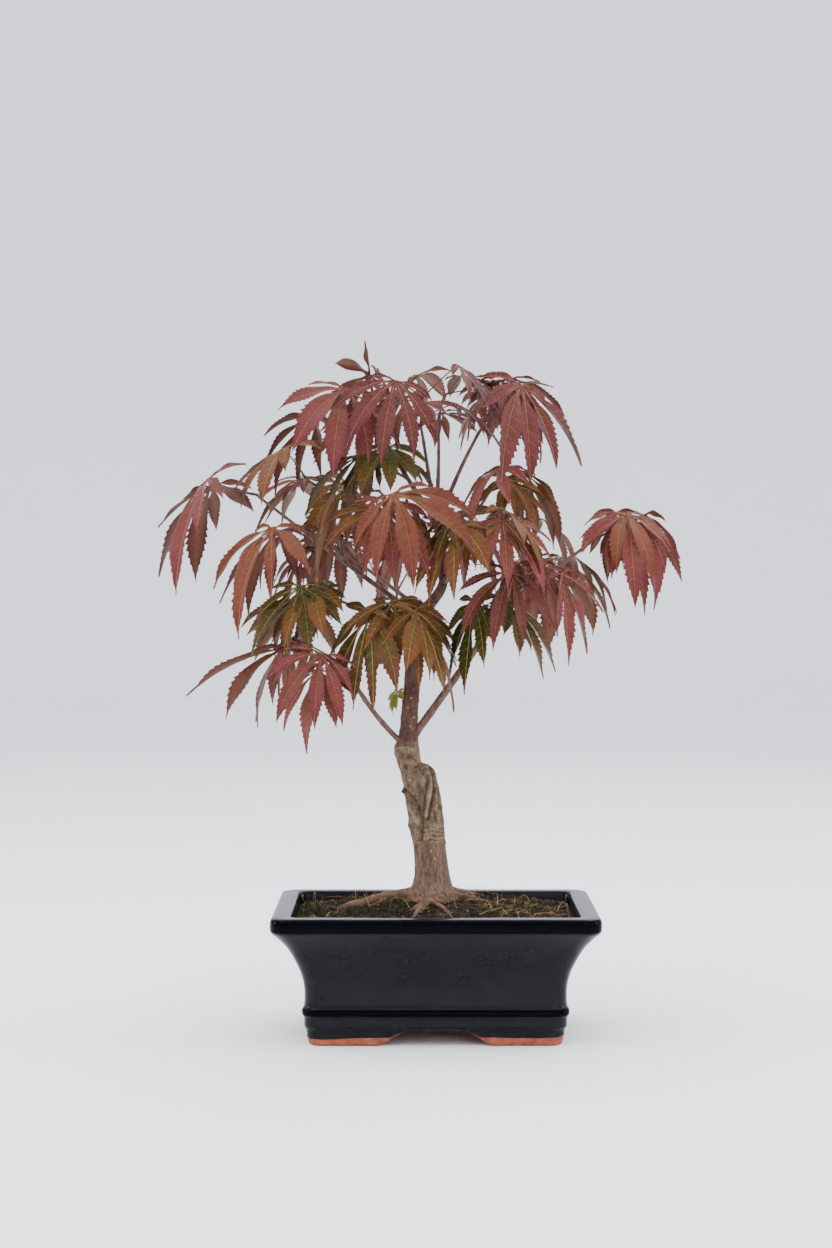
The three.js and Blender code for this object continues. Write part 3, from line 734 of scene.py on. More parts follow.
# Lines on the graft, as (x, z) points: dark sunk seams and pale raised folds. Each has its width,
# its depth or height, and 1 on the front of the trunk or -1 on its back.
SEAMS = [
    ([(-3.4, 166.5), (-1.4, 160), (-0.8, 152.3), (-2, 145), (-3.5, 138), (-4.3, 134)], 0.75, 1.5, 1),
    ([(-4.7, 160.5), (-5.5, 152.3), (-6.7, 144.3), (-7.4, 136.4), (-7.9, 126.8), (-8.3, 119.6)], 0.7, 1.0, 1),
    ([(-18.6, 151.8), (-13.9, 147.5), (-9.9, 140.4), (-8.6, 132)], 0.8, 0.9, 1),
    ([(-12.5, 165), (-9.6, 152), (-8.8, 141)], 0.6, 0.45, 1),
    ([(-19, 158), (-9, 150), (1, 147), (5, 140)], 0.9, 0.9, -1),
    ([(-14, 172), (-8, 160), (-6, 146), (-7, 130)], 0.8, 0.8, -1),
]
FOLDS = [
    ([(-3.1, 160), (-3.1, 151), (-4.6, 142.7), (-5.7, 136)], 0.85, 0.9, 1),
    ([(-15.4, 139), (-13.2, 135.6), (-10.4, 130.4)], 1.1, 0.6, 1),
    ([(-7, 126.8), (-2, 127.4), (4.5, 126)], 0.5, 0.5, 1),
    ([(-6.6, 124.4), (-1, 125), (5, 124)], 0.45, 0.5, 1),
    ([(-6.8, 121.6), (-3, 122.6), (1, 121.4), (5.2, 122)], 0.5, 0.55, 1),
    ([(-3, 119.8), (1, 119.4), (4.6, 119.9)], 0.4, 0.35, 1),
    ([(-13.2, 118.2), (-11, 118.8), (-8.6, 119.4)], 0.45, 0.45, 1),
    ([(-15, 123), (-6, 121), (4, 124)], 0.5, 0.45, -1),
    ([(-24, 177.4), (-18, 178.6), (-14, 177)], 0.4, 0.3, 1),
]
# Knobs and old buds: middle, size, height, and how dark.
KNOBS = [
    ((-19.4, -1.5, 150.7), (1.9, 2.2, 1.7), 2.0, 0.9),
    ((-17.3, -2, 129.3), (2.6, 4, 2.8), 1.2, 0.0),
    ((-15, -9, 143), (3.5, 3, 5), 0.5, 0.4),
    ((-26, 0, 173.5), (1.4, 2, 1.2), 0.8, 0.3),
    ((7.2, -2, 118.6), (1.2, 2, 1.2), 0.9, 0.5),
    ((6, 6, 140), (3, 3, 4), 0.8, 0.1),
    ((-7, 10, 112), (2.2, 3, 2.2), 0.9, 0.3),
]
# Small pale specks on the front, as (x, z) points, and the heights of the rings round the upper trunk.
SPECKS = [(-2.7, 114.2), (-0.3, 109.4), (-12.4, 104.9), (-15.4, 191.4), (-13.6, 196.8), (-17.1, 203),
          (-15, 209)]
RINGS = (188.5, 196.5, 207, 221, 236, 251)


def outward(where):
    """The points with their distance from the stock's foot shortened, so that noise runs along roots."""
    x, y, z = where.T
    reach = np.hypot(x + 3, y)
    return np.stack([reach / 6, np.arctan2(y, x + 3) * 16, z], -1)


def bark_relief(where):
    """How far the bark stands out at each point, in millimetres."""
    x, y, z = where.T
    old = 1 - smoothstep((z - 176) / 14)
    root = 1 - smoothstep((z - 82) / 8)
    graft = smoothstep((z - 118) / 8) * old
    rise = 0.5 * noise(where, (11, 11, 20), 61) * old
    ridge = 1 - np.abs(noise(where + 1.2 * noise(where, 5, 63)[:, None], (2.1, 2.1, 13), 62))
    rise += 0.22 * (ridge - 0.6) * old * (1 - root) * (1 - 0.5 * graft)
    rise += 0.2 * noise(outward(where), (1.1, 1.4, 1.4), 68) * root
    rise += 0.34 * noise(where, (3.4, 3.4, 4.4), 67) * graft
    rise += 0.16 * noise(where, (0.9, 0.9, 2.2), 64) * (0.35 + 0.65 * old)
    rise += 0.11 * noise(where, 0.8, 65)
    for path, width, depth, front in SEAMS:
        rise -= depth * near_line(where, path, width, front)
    for path, width, height, front in FOLDS:
        rise += height * near_line(where, path, width, front)
    for middle, size, height, _ in KNOBS:
        rise += bump_at(where, middle, size, height)
    for height in RINGS:
        rise += 0.35 * np.exp(-((z - height) / 1.1) ** 2) * (z > 180)
    return rise


def tone_of(colour):
    """The colour's three channels as the shader wants them."""
    return np.array(linear(colour)[:3])


def blend(parts, share):
    """The colour between the parts, evenly spaced, at each share from 0 to 1."""
    tones = np.array([tone_of(part) for part in parts])
    return between(np.clip(share, 0, 1), np.linspace(0, 1, len(parts)), tones)


def over(tint, tone, share):
    """The tint with a share of the tone laid over it."""
    return tint * (1 - share[:, None]) + tone * share[:, None]


def bark_tint(where):
    """Tan streaked bark on the stock, grey-green at the graft, purplish brown above, ruddy roots."""
    x, y, z = where.T
    streak = 0.5 + 0.42 * noise(where, (1.3, 1.3, 9), 111) + 0.42 * noise(where, (0.6, 0.6, 1.3), 112)
    blotch = 0.5 + 0.6 * noise(where, (2.6, 2.6, 3.6), 113) + 0.5 * noise(where, 0.9, 114)
    grain = 0.5 + 0.6 * noise(outward(where), (1.2, 1.5, 1.5), 117) + 0.3 * noise(where, 0.8, 118)
    waver = 7 * noise(where, (6, 6, 5), 115)
    tint = blend(STOCK_TONES, streak)
    for tones, pattern, wander, low, high in (
        (ROOT_TONES, grain, 0.4 * waver, 90, 85),
        (GRAFT_TONES, blotch, waver, 113, 128),
        (UPPER_TONES, 0.6 * streak + 0.4 * blotch, waver, 180, 187),
    ):
        tint = over(tint, blend(tones, pattern), smoothstep((z + wander - low) / (high - low)))
    rust = smoothstep(1 - np.hypot((x + 4) / 7, (z - 116) / 6)) * 0.5 * (y < 0)
    tint = over(tint, tone_of(RUST), rust)
    for path, width, depth, front in SEAMS:
        tint = over(tint, tone_of(SEAM), 0.75 * min(1, depth) * near_line(where, path, width * 1.3, front))
    for path, width, _, front in FOLDS:
        tint = over(tint, tone_of(FOLD), 0.8 * near_line(where, path, width * 0.9, front))
    for middle, size, _, dark in KNOBS:
        tint = over(tint, tone_of(KNOB), dark * bump_at(where, middle, np.array(size) * 1.1, 1.0))
    for spot in SPECKS:
        share = np.exp(-(((x - spot[0]) / 0.5) ** 2 + ((z - spot[1]) / 0.35) ** 2)) * (y < 0)
        tint = over(tint, tone_of(SPECK), share)
    dots = smoothstep((noise(where, (0.9, 0.9, 1.3), 116) - 0.62) / 0.1) * smoothstep((z - 184) / 6)
    return over(tint, tone_of(DOT), 0.5 * dots)


def make_trunk():
    """Stock, graft, leader and roots, grown into one skin that then gets its bark."""
    skin = Skin()
    trunk_tube(skin, STOCK, 48, True)
    trunk_tube(skin, SCION, 40, False)
    leader = spine(LEADER, 6)
    tube(skin, leader[:, :3], leader[:, 3], 24)
    for points, first, last in ROOTS + ROOTLETS:
        path = spine(points, 14)
        wander = 1.3 * np.stack([noise(path, 9, 71), noise(path, 9, 72), 0.35 * noise(path, 9, 73)], 1)
        share = np.linspace(0, 1, len(path))
        radii = (first + (last - first) * share) * (1 + 0.16 * noise(path, 6, 74))
        tube(skin, path + wander * smoothstep(share * 3)[:, None], radii, 16)
    raw = skin.build("bark_raw", [OLD_BARK])
    remesh = raw.modifiers.new("remesh", "REMESH")
    remesh.mode = "VOXEL"
    remesh.voxel_size = BARK_VOXEL * MM
    remesh.use_smooth_shade = True
    smooth = raw.modifiers.new("smooth", "SMOOTH")
    smooth.factor = 0.5
    smooth.iterations = 7
    shaped = bpy.data.meshes.new_from_object(raw.evaluated_get(bpy.context.evaluated_depsgraph_get()))
    shaped.name = "trunk_bark"
    bpy.data.objects.remove(raw)
    where = (read(shaped, "co").astype(float) - ORIGIN) / MM
    tints = bark_tint(where)
    where += read(shaped, "normal") * bark_relief(where)[:, None]
    shaped.vertices.foreach_set("co", (where * MM + ORIGIN).astype(np.float32).ravel())
    shaped.materials.clear()
    shaped.materials.append(OLD_BARK)
    shaped.polygons.foreach_set("use_smooth", np.full(len(shaped.polygons), True))
    shaped.update()
    paint(shaped, tints)
    piece = put("trunk_bark", shaped)
    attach(piece, "root")
    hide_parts("trunk", *sorted(name for name in frame["nodes"] if name.startswith("root_")))


# ---- boughs
# Parent, share of its length, tip, bow of the middle, radius at both ends.
BOUGHS = {
    "low_left": ("leader", 0.01, (-57, -22, 233), (-6, 0, -4), 1.9, 1.2),
    "low_right": ("leader", 0.03, (50, -8, 276), (-4, 0, -8), 2.7, 1.7),
    "right": ("low_right", 1.0, (100, -6, 309), (2, 0, -3), 1.5, 0.9),
    "right_front": ("low_right", 0.92, (58, -30, 284), (0, -3, 0), 1.2, 0.8),
    "right_back": ("low_right", 0.72, (66, 38, 288), (0, 4, -2), 1.3, 0.8),
    "right_under": ("low_right", 0.55, (32, -26, 262), (2, -2, -3), 1.1, 0.8),
    "left": ("leader", 0.55, (-112, 2, 336), (-2, 0, 0), 2.0, 0.8),
    "left_up": ("left", 0.47, (-75, 14, 342), (7, 0, -2), 1.2, 0.8),
    "left_side": ("left", 0.45, (-72, -30, 314), (0, -3, 0), 1.1, 0.8),
    "left_low": ("leader", 0.46, (-60, -8, 270), (-2, 0, 4), 1.4, 0.8),
    "left_back": ("leader", 0.58, (-60, 54, 302), (0, 4, 0), 1.6, 0.9),
    "front_low": ("leader", 0.47, (-22, -38, 262), (0, -2, 2), 1.3, 0.8),
    "front_left": ("leader", 0.74, (-30, -42, 322), (0, -3, 2), 1.4, 0.8),
    "front_right": ("leader", 0.72, (22, -46, 312), (2, -3, 0), 1.4, 0.8),
    "mid_right": ("leader", 0.86, (34, -12, 338), (3, 0, -2), 1.4, 0.8),
    "back_mid": ("leader", 0.7, (4, 62, 312), (0, 3, -2), 1.6, 0.9),
    "back_right": ("leader", 0.8, (48, 58, 318), (2, 3, -2), 1.5, 0.8),
    "back_left": ("leader", 0.86, (-36, 50, 340), (0, 3, -2), 1.5, 0.8),
    "upper_left": ("leader", 1.0, (-35, -2, 376), (-1, 0, -2), 1.8, 1.1),
    "crest": ("upper_left", 0.62, (-30, 8, 402), (2, 2, -2), 1.2, 0.8),
    "upper_in": ("upper_left", 0.45, (-30, -14, 352), (0, -2, 0), 1.1, 0.7),
    "upper_mid": ("leader", 0.99, (-9, -12, 378), (1, 0, 0), 1.5, 0.9),
    "upper_back": ("leader", 0.97, (2, 22, 384), (2, 2, 0), 1.5, 0.9),
    "upper_right": ("leader", 0.95, (34, 4, 386), (-3, 0, 4), 1.6, 0.9),
}
# Stem's bearing, rise and length, number of leaves, spread, leaf stalk's length and lift,
# leaf's size, pitch, droop and roll, and the seed of its growth.
SPRAYS = {
    "crest": (200, 60, 6, 1, 20, 12, 5, 60, 70, 30, 75, 71),
    "upper_left": (210, 10, 14, 2, 45, 34, 15, 78, 45, 45, 0, 137),
    "left": (180, 10, 14, 2, 45, 20, 15, 80, 45, 45, 0, 17),
    "right": (0, 20, 12, 4, 60, 20, 15, 62, 40, 55, 0, 280),
    "low_left": (215, 5, 12, 4, 55, 28, 5, 62, 40, 55, 0, 60),
    "upper_mid": (280, 70, 18, 2, 65, 30, 25, 66, 45, 45, 0, 374),
    "upper_right": (5, 50, 14, 2, 60, 28, 30, 72, 40, 50, 0, 238),
    "front_right": (290, 15, 10, 3, 65, 22, 15, 62, 50, 45, 0, 5),
    "front_left": (235, 20, 10, 3, 70, 22, 15, 62, 50, 45, 0, 111),
    "right_front": (290, 20, 6, 2, 65, 20, 10, 68, 55, 45, 0, 266),
    "right_back": (20, 15, 10, 4, 60, 20, 10, 58, 45, 50, 0, 148),
    "right_under": (270, 5, 6, 2, 60, 16, 10, 58, 65, 25, 0, 114),
    "left_up": (175, 35, 8, 2, 60, 30, 15, 54, 15, 40, 0, 615),
    "left_side": (190, 10, 8, 2, 60, 24, 5, 70, 45, 55, 0, 254),
    "left_low": (190, 0, 8, 4, 60, 24, 0, 62, 50, 45, 0, 587),
    "left_back": (140, 10, 12, 3, 50, 20, 10, 58, 45, 50, 0, 637),
    "front_low": (255, 10, 8, 3, 70, 18, 10, 64, 60, 35, 0, 179),
    "mid_right": (330, 15, 10, 2, 60, 20, 15, 64, 45, 50, 0, 650),
    "back_mid": (95, 10, 12, 3, 60, 24, 10, 60, 45, 50, 0, 388),
    "back_right": (60, 0, 12, 3, 60, 20, 5, 58, 45, 50, 0, 219),
    "back_left": (120, 0, 12, 3, 60, 20, 5, 58, 45, 50, 0, 276),
    "upper_in": (230, 20, 6, 2, 70, 18, 10, 52, 45, 50, 0, 7),
    "upper_back": (60, 65, 18, 2, 70, 26, 25, 60, 25, 45, 0, 76),
}
BOUGH_STEPS = 8
NODE_SPACING = 19


def along(points, share):
    """The point a share of the way along the line."""
    run = run_along(points)
    return between(share * run[-1], run, points)


def bent(start, middle, end, steps):
    """A curve from start to end that leans towards the middle point."""
    t = (np.arange(steps + 1) / steps)[:, None]
    return (1 - t) ** 2 * start + 2 * t * (1 - t) * middle + t * t * end


def bough_paths():
    """The line of the leader and of each bough, which starts on its parent's."""
    paths = {"leader": np.array([row[:3] for row in LEADER], float)}
    for name, (parent, share, tip, bow, _, _) in BOUGHS.items():
        start, end = along(paths[parent], share), np.array(tip, float)
        paths[name] = bent(start, (start + end) / 2 + bow, end, BOUGH_STEPS)
    return paths


def knuckled(radii, points, first, spacing=NODE_SPACING, swell=0.16):
    """The radii with a ring of swelling at each joint of the wood."""
    near = np.abs((run_along(points) - first + spacing / 2) % spacing - spacing / 2)
    return radii * (1 + swell * np.exp(-((near / 0.9) ** 2)))


def bough_relief(where):
    """How far a bough's bark stands out at each point, in millimetres."""
    return 0.07 * noise(where, (1.2, 1.2, 3), 81) + 0.12 * noise(where, 5, 82)


def make_boughs(paths):
    """Tapering boughs, each with a swollen foot and knuckles."""
    skin = Skin()
    for name, (_, _, _, _, first, last) in BOUGHS.items():
        line = spine(paths[name], 9)
        share = np.linspace(0, 1, len(line))
        radii = (first + (last - first) * share) * (1 + 0.45 * np.exp(-((share * 14) ** 2)))
        draw = seeded(len(name) * 37 + int(abs(line[-1, 0])))
        tube(skin, line, knuckled(radii, line, draw(3, 14)), 12, relief=bough_relief)
    piece = skin.build("boughs", [YOUNG_BARK])
    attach(piece, "root")
    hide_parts(*sorted(name for name in frame["nodes"] if name.startswith("bough_")))


# ---- leaves
# Bearing and length of each lobe from the right to the left, and what all of them share.
LOBE_ANGLES = (-108, -68, -33, 0, 33, 68, 108)
LOBE_LENGTHS = (0.42, 0.78, 0.95, 1.0, 0.95, 0.78, 0.42)
LOBE_HALF_WIDTH = 0.105
NOTCH = 0.1
WEB_ROWS = 4
TEETH = 14
TOOTH_STEPS = ((0.0, -0.8), (0.5, 0.0), (0.9, 1.0))
TOOTH_DEPTH = 0.16
FULLEST = (2.0, 1.65)
BLADE_THICK = 0.24
LOBES = len(LOBE_ANGLES)


def blade_rows():
    """Stations along a lobe, and its half-width there as a share of its length."""
    rows, shares = list(np.linspace(0, NOTCH, WEB_ROWS + 1)), [0.0] * (WEB_ROWS + 1)
    step = (0.95 - NOTCH) / TEETH
    for tooth in range(TEETH):
        for part, share in TOOTH_STEPS:
            if tooth or part:
                rows.append(NOTCH + (tooth + part) * step)
                shares.append(share)
    rows += [0.955, 0.98, 1.0]
    shares += [0.0, 0.0, 0.0]
    rows = np.array(rows)
    first, last = FULLEST
    top = first / (first + last)
    outline = (rows / top) ** first * ((1 - rows) / (1 - top)) ** last * LOBE_HALF_WIDTH
    return rows, outline * (1 + np.array(shares) * TOOTH_DEPTH * smoothstep((rows - 0.38) / 0.2))


T, OUTLINE = blade_rows()
ROWS = len(T)
PARTED = smoothstep((T - NOTCH) / 0.12)
DRAWN_IN = 1 - 0.4 * smoothstep((T - NOTCH) / 0.05)


def blade_faces():
    """A number for each corner of a leaf, and its faces. A corner's key is its kind, lobe, row and column."""
    numbers = {}

    def number(*key):
        return numbers.setdefault(key, len(numbers))

    def top(k, i, j):
        if i == 0:
            return number("hub", 0, 0, 0)
        if i == ROWS - 1:
            return number("tip", k, 0, 0)
        if j == 0 and i <= WEB_ROWS and k > 0:
            return number("top", k - 1, i, 4)
        return number("top", k, i, j)

    def low(k, i, j):
        if i == 0:
            return number("under_hub", 0, 0, 0)
        if i == ROWS - 1:
            return top(k, i, 2)
        if j == 1:
            return number("low", k, i, 1)
        if j == 0:
            return number("low", k - 1, i, 2) if i < WEB_ROWS and k > 0 else top(k, i, 0)
        return number("low", k, i, 2) if i < WEB_ROWS and k < LOBES - 1 else top(k, i, 4)

    quads, tris = [], []
    for k, i in np.ndindex(LOBES, ROWS - 1):
        for corner, columns in ((top, 4), (low, 2)):
            for j in range(columns):
                face = [corner(k, i, j), corner(k, i + 1, j), corner(k, i + 1, j + 1), corner(k, i, j + 1)]
                if corner is low:
                    face.reverse()
                trimmed = [c for n, c in enumerate(face) if c != face[n - 1]]
                if len(trimmed) == 4:
                    quads.append(trimmed)
                elif len(trimmed) == 3:
                    tris.append(trimmed)
    return numbers, np.array(quads), np.array(tris)


def corners_of(kind):
    """The corners of this kind: number, lobe, row and column."""
    return np.array([(number,) + key[1:] for key, number in NUMBERS.items() if key[0] == kind]).T


NUMBERS, BLADE_QUADS, BLADE_TRIS = blade_faces()
TOPS, LOWS, TIPS = corners_of("top"), corners_of("low"), corners_of("tip")
HUBS = [NUMBERS[(kind, 0, 0, 0)] for kind in ("hub", "under_hub")]
# For each corner: how far along its lobe it is, how far from the rib (0 to 1), and if it is below.
SPAN = np.array([1.0 if kind == "tip" else T[row] for kind, _, row, _ in NUMBERS])
ASIDE = np.array([{"top": abs(column - 2) / 2, "low": abs(column - 1)}.get(kind, 0)
                  for kind, _, _, column in NUMBERS])
BELOW = np.array([kind in ("low", "under_hub") for kind, _, _, _ in NUMBERS])


def leaf_lobes(bearing, size, pitch, roll, droop, draw):
    """The lobes of a leaf that hangs along its bearing and rolls about it, each drooping on."""
    forward = heading(bearing, -pitch)
    level = np.array([-math.sin(math.radians(bearing)), math.cos(math.radians(bearing)), 0.0])
    turn = math.radians(roll)
    side = level * math.cos(turn) + np.cross(forward, level) * math.sin(turn)
    lobes = []
    for angle, share in zip(LOBE_ANGLES, LOBE_LENGTHS):
        a = math.radians(angle * draw(0.94, 1.06) + draw(-3, 3))
        run = forward * math.cos(a) + side * math.sin(a)
        wide = -forward * math.sin(a) + side * math.cos(a)
        way = math.atan2(run[1], run[0])
        rise = math.asin(max(-1.0, min(1.0, run[2])))
        across = np.array([-math.sin(way), math.cos(way), 0.0])
        up = np.cross(run, across)
        fall = max(min(droop * draw(0.8, 1.2), 88 + math.degrees(rise)), 4)
        length = size * share * draw(0.88, 1.08)
        twist = math.radians(draw(-20, 20))
        lobes.append((way, rise, math.radians(fall), length, math.atan2(wide @ up, wide @ across), twist))
    return np.array(lobes)


def uneven(lobes, draw):
    """The leaf's lobes made longer and shorter, and hanging more and less, each by itself."""
    for lobe in lobes:
        lobe[3] *= draw(0.74, 1.1)
        lobe[2] *= draw(0.65, 1.25)
        lobe[0] += math.radians(draw(-7, 7))
    return lobes


def ribs_of(hub, lobes, t):
    """Points on each lobe's rib at the stations t, with the directions across it and out of its face."""
    way, rise, fall, length, tilt, twist = (lobes[:, k, None] for k in range(6))
    now = rise - fall * t
    reach = length * (np.sin(rise) - np.sin(now)) / fall
    drop = length * (np.cos(now) - np.cos(rise)) / fall
    points = hub + np.stack([np.cos(way) * reach, np.sin(way) * reach, drop], -1)
    run = np.stack([np.cos(way) * np.cos(now), np.sin(way) * np.cos(now), np.sin(now)], -1)
    across = np.stack([-np.sin(way), np.cos(way), 0 * way], -1)
    up = np.cross(run, across)
    turn = (tilt + twist * t)[..., None]
    wide = across * np.cos(turn) + up * np.sin(turn)
    return points, wide, np.cross(run, wide)


def blade(hub, lobes, draw, broad):
    """The corners of one leaf, with its ribs, the directions at them, and the top's columns of points."""
    rib, wide, face = ribs_of(hub, lobes, T)
    size = lobes[:, 3].max()
    length = lobes[:, 3][:, None, None]
    wave = np.array([draw(0, 6.3) for _ in range(LOBES)])[:, None]
    ripple = 0.008 * size * np.sin(T * 13 + wave)[..., None] * PARTED[:, None]
    fold = draw(0.1, 0.5)
    edges = []
    for sign in (-1, 1):
        outer = rib + wide * (sign * broad * OUTLINE[:, None] * length)
        outer = outer + face * (fold * broad * OUTLINE[:, None] * length + sign * ripple)
        beside = np.roll(rib, -sign, axis=0)
        seam = (rib + beside) / 2 + face * (0.012 * size * np.sin(np.pi * np.minimum(T / NOTCH, 1)))[:, None]
        free = 0 if sign < 0 else LOBES - 1
        web = rib + (seam - rib) * DRAWN_IN[:, None]
        edge = web * (1 - PARTED[:, None]) + outer * PARTED[:, None]
        edge[free] = outer[free]
        edges.append(edge)
    right, left = edges
    for k in range(1, LOBES):
        shared = (right[k, :WEB_ROWS + 1] + left[k - 1, :WEB_ROWS + 1]) / 2
        right[k, :WEB_ROWS + 1] = shared
        left[k - 1, :WEB_ROWS + 1] = shared
    quilt = 0.004 * size * np.sin(T * 2 * np.pi * TEETH / (0.95 - NOTCH))[:, None]
    quilt = quilt * (0.3 + 0.7 * PARTED[:, None])
    puff = face * (0.006 * size * np.sin(np.pi * T)[:, None] + quilt)
    columns = np.stack([right, (right + rib) / 2 + puff, rib - face * 0.006 * size,
                        (left + rib) / 2 + puff, left], 2)
    under = columns[:, :, (0, 2, 4)] - face[:, :, None] * BLADE_THICK
    middle = face[LOBES // 2, 0] * BLADE_THICK / 2
    points = np.zeros((len(NUMBERS), 3))
    points[HUBS] = hub + middle, hub - middle
    points[TOPS[0]] = columns[tuple(TOPS[1:])]
    points[LOWS[0]] = under[tuple(LOWS[1:])]
    points[TIPS[0]] = rib[TIPS[1], -1]
    return points, rib, wide, face, columns


RIB_STATIONS = (0.0, 0.07, 0.16, 0.28, 0.4, 0.52, 0.64, 0.76, 0.88, 0.97)
RIB_AT = np.array([np.argmin(np.abs(T - t)) for t in RIB_STATIONS])
SIDE_VEINS = 7


def veins(skin, rib, wide, face, columns, size, tone):
    """A raised rib along each lobe, and finer veins from it towards the teeth."""
    turns = turns_of(3)[:, None, None] + math.pi / 2
    thick = size / 62

    def strand(points, across, out, radii):
        ring = (np.cos(turns) * across + np.sin(turns) * out) * radii[:, None]
        total = 3 * len(points)
        tris = [(2, 1, 0), (total - 3, total - 2, total - 1)]
        where = (points + ring).transpose(1, 0, 2)
        skin.add(where, grid_quads(len(points), 3, True), tris, VEIN_MAT, tint=linear(tone)[:3])

    for k in range(LOBES):
        radii = np.linspace(0.42, 0.18, len(RIB_AT)) * thick
        strand(rib[k, RIB_AT], wide[k, RIB_AT], face[k, RIB_AT], radii)
        for m in range(SIDE_VEINS):
            i = WEB_ROWS - 1 + 5 * m
            if i + 3 >= ROWS - 3:
                break
            for side in (1, 3):
                points = np.array([rib[k, i], columns[k, i + 2, side],
                                   0.25 * columns[k, i + 3, side] + 0.75 * columns[k, i + 3, side // 2 * 4]])
                run = unit(points[-1] - points[0])
                out = face[k, i + 1]
                strand(points, np.tile(np.cross(run, out), (3, 1)), np.tile(out, (3, 1)),
                       np.array([0.12, 0.08, 0.04]) * thick)


# ---- colours of the leaves
# The kinds of leaf in a mass of each slot, by share.
MIXES = {
    "leaves_red": {"crimson": 0.42, "maroon": 0.36, "rust": 0.22},
    "leaves_bronze": {"rust": 0.34, "bronze": 0.38, "crimson": 0.18, "olive": 0.10},
    "leaves_olive": {"olive": 0.42, "green": 0.28, "bronze": 0.30},
}
PALE_VEINED = ("bronze", "olive", "green")
UNDERSIDE = (122, 86, 68)
BREADTHS = {"crimson": 0.84, "maroon": 0.82, "rust": 0.9, "bronze": 1.0, "olive": 1.15, "green": 1.1}


def pick(mix, value):
    """The kind whose share of the mix the value, 0 to 1, falls in."""
    for kind, share in mix.items():
        value -= share
        if value <= 0:
            return kind
    return kind


def leaf_tints(points, kind, draw):
    """The colour at each corner of a leaf: from hub to tip and rib to margin, with soft blotches."""
    blotch = noise(points, 9, 91) + 0.5 * noise(points, 3.5, 92)
    reach = 0.62 * SPAN + 0.36 * ASIDE * smoothstep(SPAN / 0.2) + 0.24 * blotch + draw(-0.14, 0.14)
    tint = blend(TINTS[kind], reach) * draw(0.82, 1.02)
    under = tone_of(UNDERSIDE) * 0.6 + tint * 0.5
    return np.where(BELOW[:, None], under, tint * (1 + 0.1 * blotch[:, None]))


# ---- masses
SPRIGS = 5
SPRIG_SIZE = 0.68
# A leaf's solid counts as grown when it has a point this near the hub, in millimetres.
HUB_REACH = 2.2
# The number of each material in a mass, and in the twigs.
BLADE_MAT, VEIN_MAT = 0, 1
TWIG_MAT, STALK_MAT = 0, 1


def grown(name, hub):
    """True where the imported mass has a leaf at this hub: those that touched another were skipped."""
    where = read(frame["nodes"]["foliage_" + name].data, "co")
    return np.linalg.norm(where - place(hub), axis=1).min() < HUB_REACH * MM


def inside(name, points, slack):
    """True where the points keep within the mass's own box and a little slack."""
    low, high = (np.array(corner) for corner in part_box("foliage_" + name))
    where = points * MM + ORIGIN
    return np.all(where > low - slack * MM) and np.all(where < high + slack * MM)


def stalk(skin, start, end, thick, rise):
    """A leaf's stalk: a slender tube with a swollen foot, arching a little."""
    reach = np.linalg.norm(end - start)
    path = bent(start, (start + end) / 2 + (0, 0, rise * reach), end, 9)
    share = np.linspace(0, 1, len(path))
    swell = 0.9 * np.exp(-((share * 9) ** 2))
    radii = thick * (1 - 0.2 * share + swell + 0.25 * np.exp(-(((1 - share) * 9) ** 2)))
    tube(skin, path, radii, 6, STALK_MAT)


def make_shoot(twigs):
    """A young green leaf on a short stalk, low on the trunk's left."""
    joint, hub = np.array([-17.0, 0.0, 211.5]), np.array([-23.5, -2.5, 213.0])
    draw = seeded(77)
    lobes = leaf_lobes(215, 16, 62, 8, 22, draw)
    points, rib, wide, face, columns = blade(hub, lobes, draw, 1.7)
    skin = Skin()
    skin.add(points, BLADE_QUADS, BLADE_TRIS, BLADE_MAT, tint=blend(YOUNG_LEAF, SPAN))
    veins(skin, rib, wide, face, columns, lobes[:, 3].max(), VEIN_TONES["pale"])
    stalk(twigs, joint, hub, 0.5, 0.12)
    piece = skin.build("young_shoot", [LEAF, VEIN], tinted=True)
    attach(piece, "root")


def leaf_places(name, row, tip, end):
    """Joint, hub and lobes of a mass's leaves: those of the solid, then smaller ones among them."""
    bearing, _, _, count, spread, petiole, lift, size, pitch, droop, roll, seed = row
    leaves = []
    draw = seeded(seed)
    for k in range(count):
        joint = tip + (end - tip) * ((k // 2 + 1) / ((count + 1) // 2))
        turn = bearing + (1 if k % 2 == 0 else -1) * spread * draw(0.6, 1.3)
        up = lift + draw(-20, 25)
        reach = petiole * draw(0.75, 1.35)
        hub = joint + heading(turn, up) * reach
        facing = turn + draw(-15, 15)
        width = size * draw(0.86, 1.1)
        hang = pitch * draw(0.4, 1.4)
        lobes = leaf_lobes(facing, width, hang, roll + draw(-30, 30), droop, draw)
        if grown(name, hub):
            leaves.append((joint, hub, lobes))
    draw = seeded(seed + 900)
    for k in range(SPRIGS):
        turn = bearing + k * 360 / SPRIGS + draw(-35, 35)
        joint = tip + (end - tip) * (0.1 + 0.8 * k / SPRIGS)
        hub = joint + heading(turn, lift + draw(-10, 35)) * petiole * draw(0.35, 0.8)
        width = size * SPRIG_SIZE * draw(0.7, 1.1)
        lobes = leaf_lobes(turn + draw(-25, 25), width, pitch * draw(0.3, 1.2), roll + draw(-30, 30),
                           droop * 0.8, draw)
        rib, _, _ = ribs_of(hub, lobes, np.array([0.5, 1.0]))
        if inside(name, rib, 2):
            leaves.append((joint, hub, lobes))
    return leaves


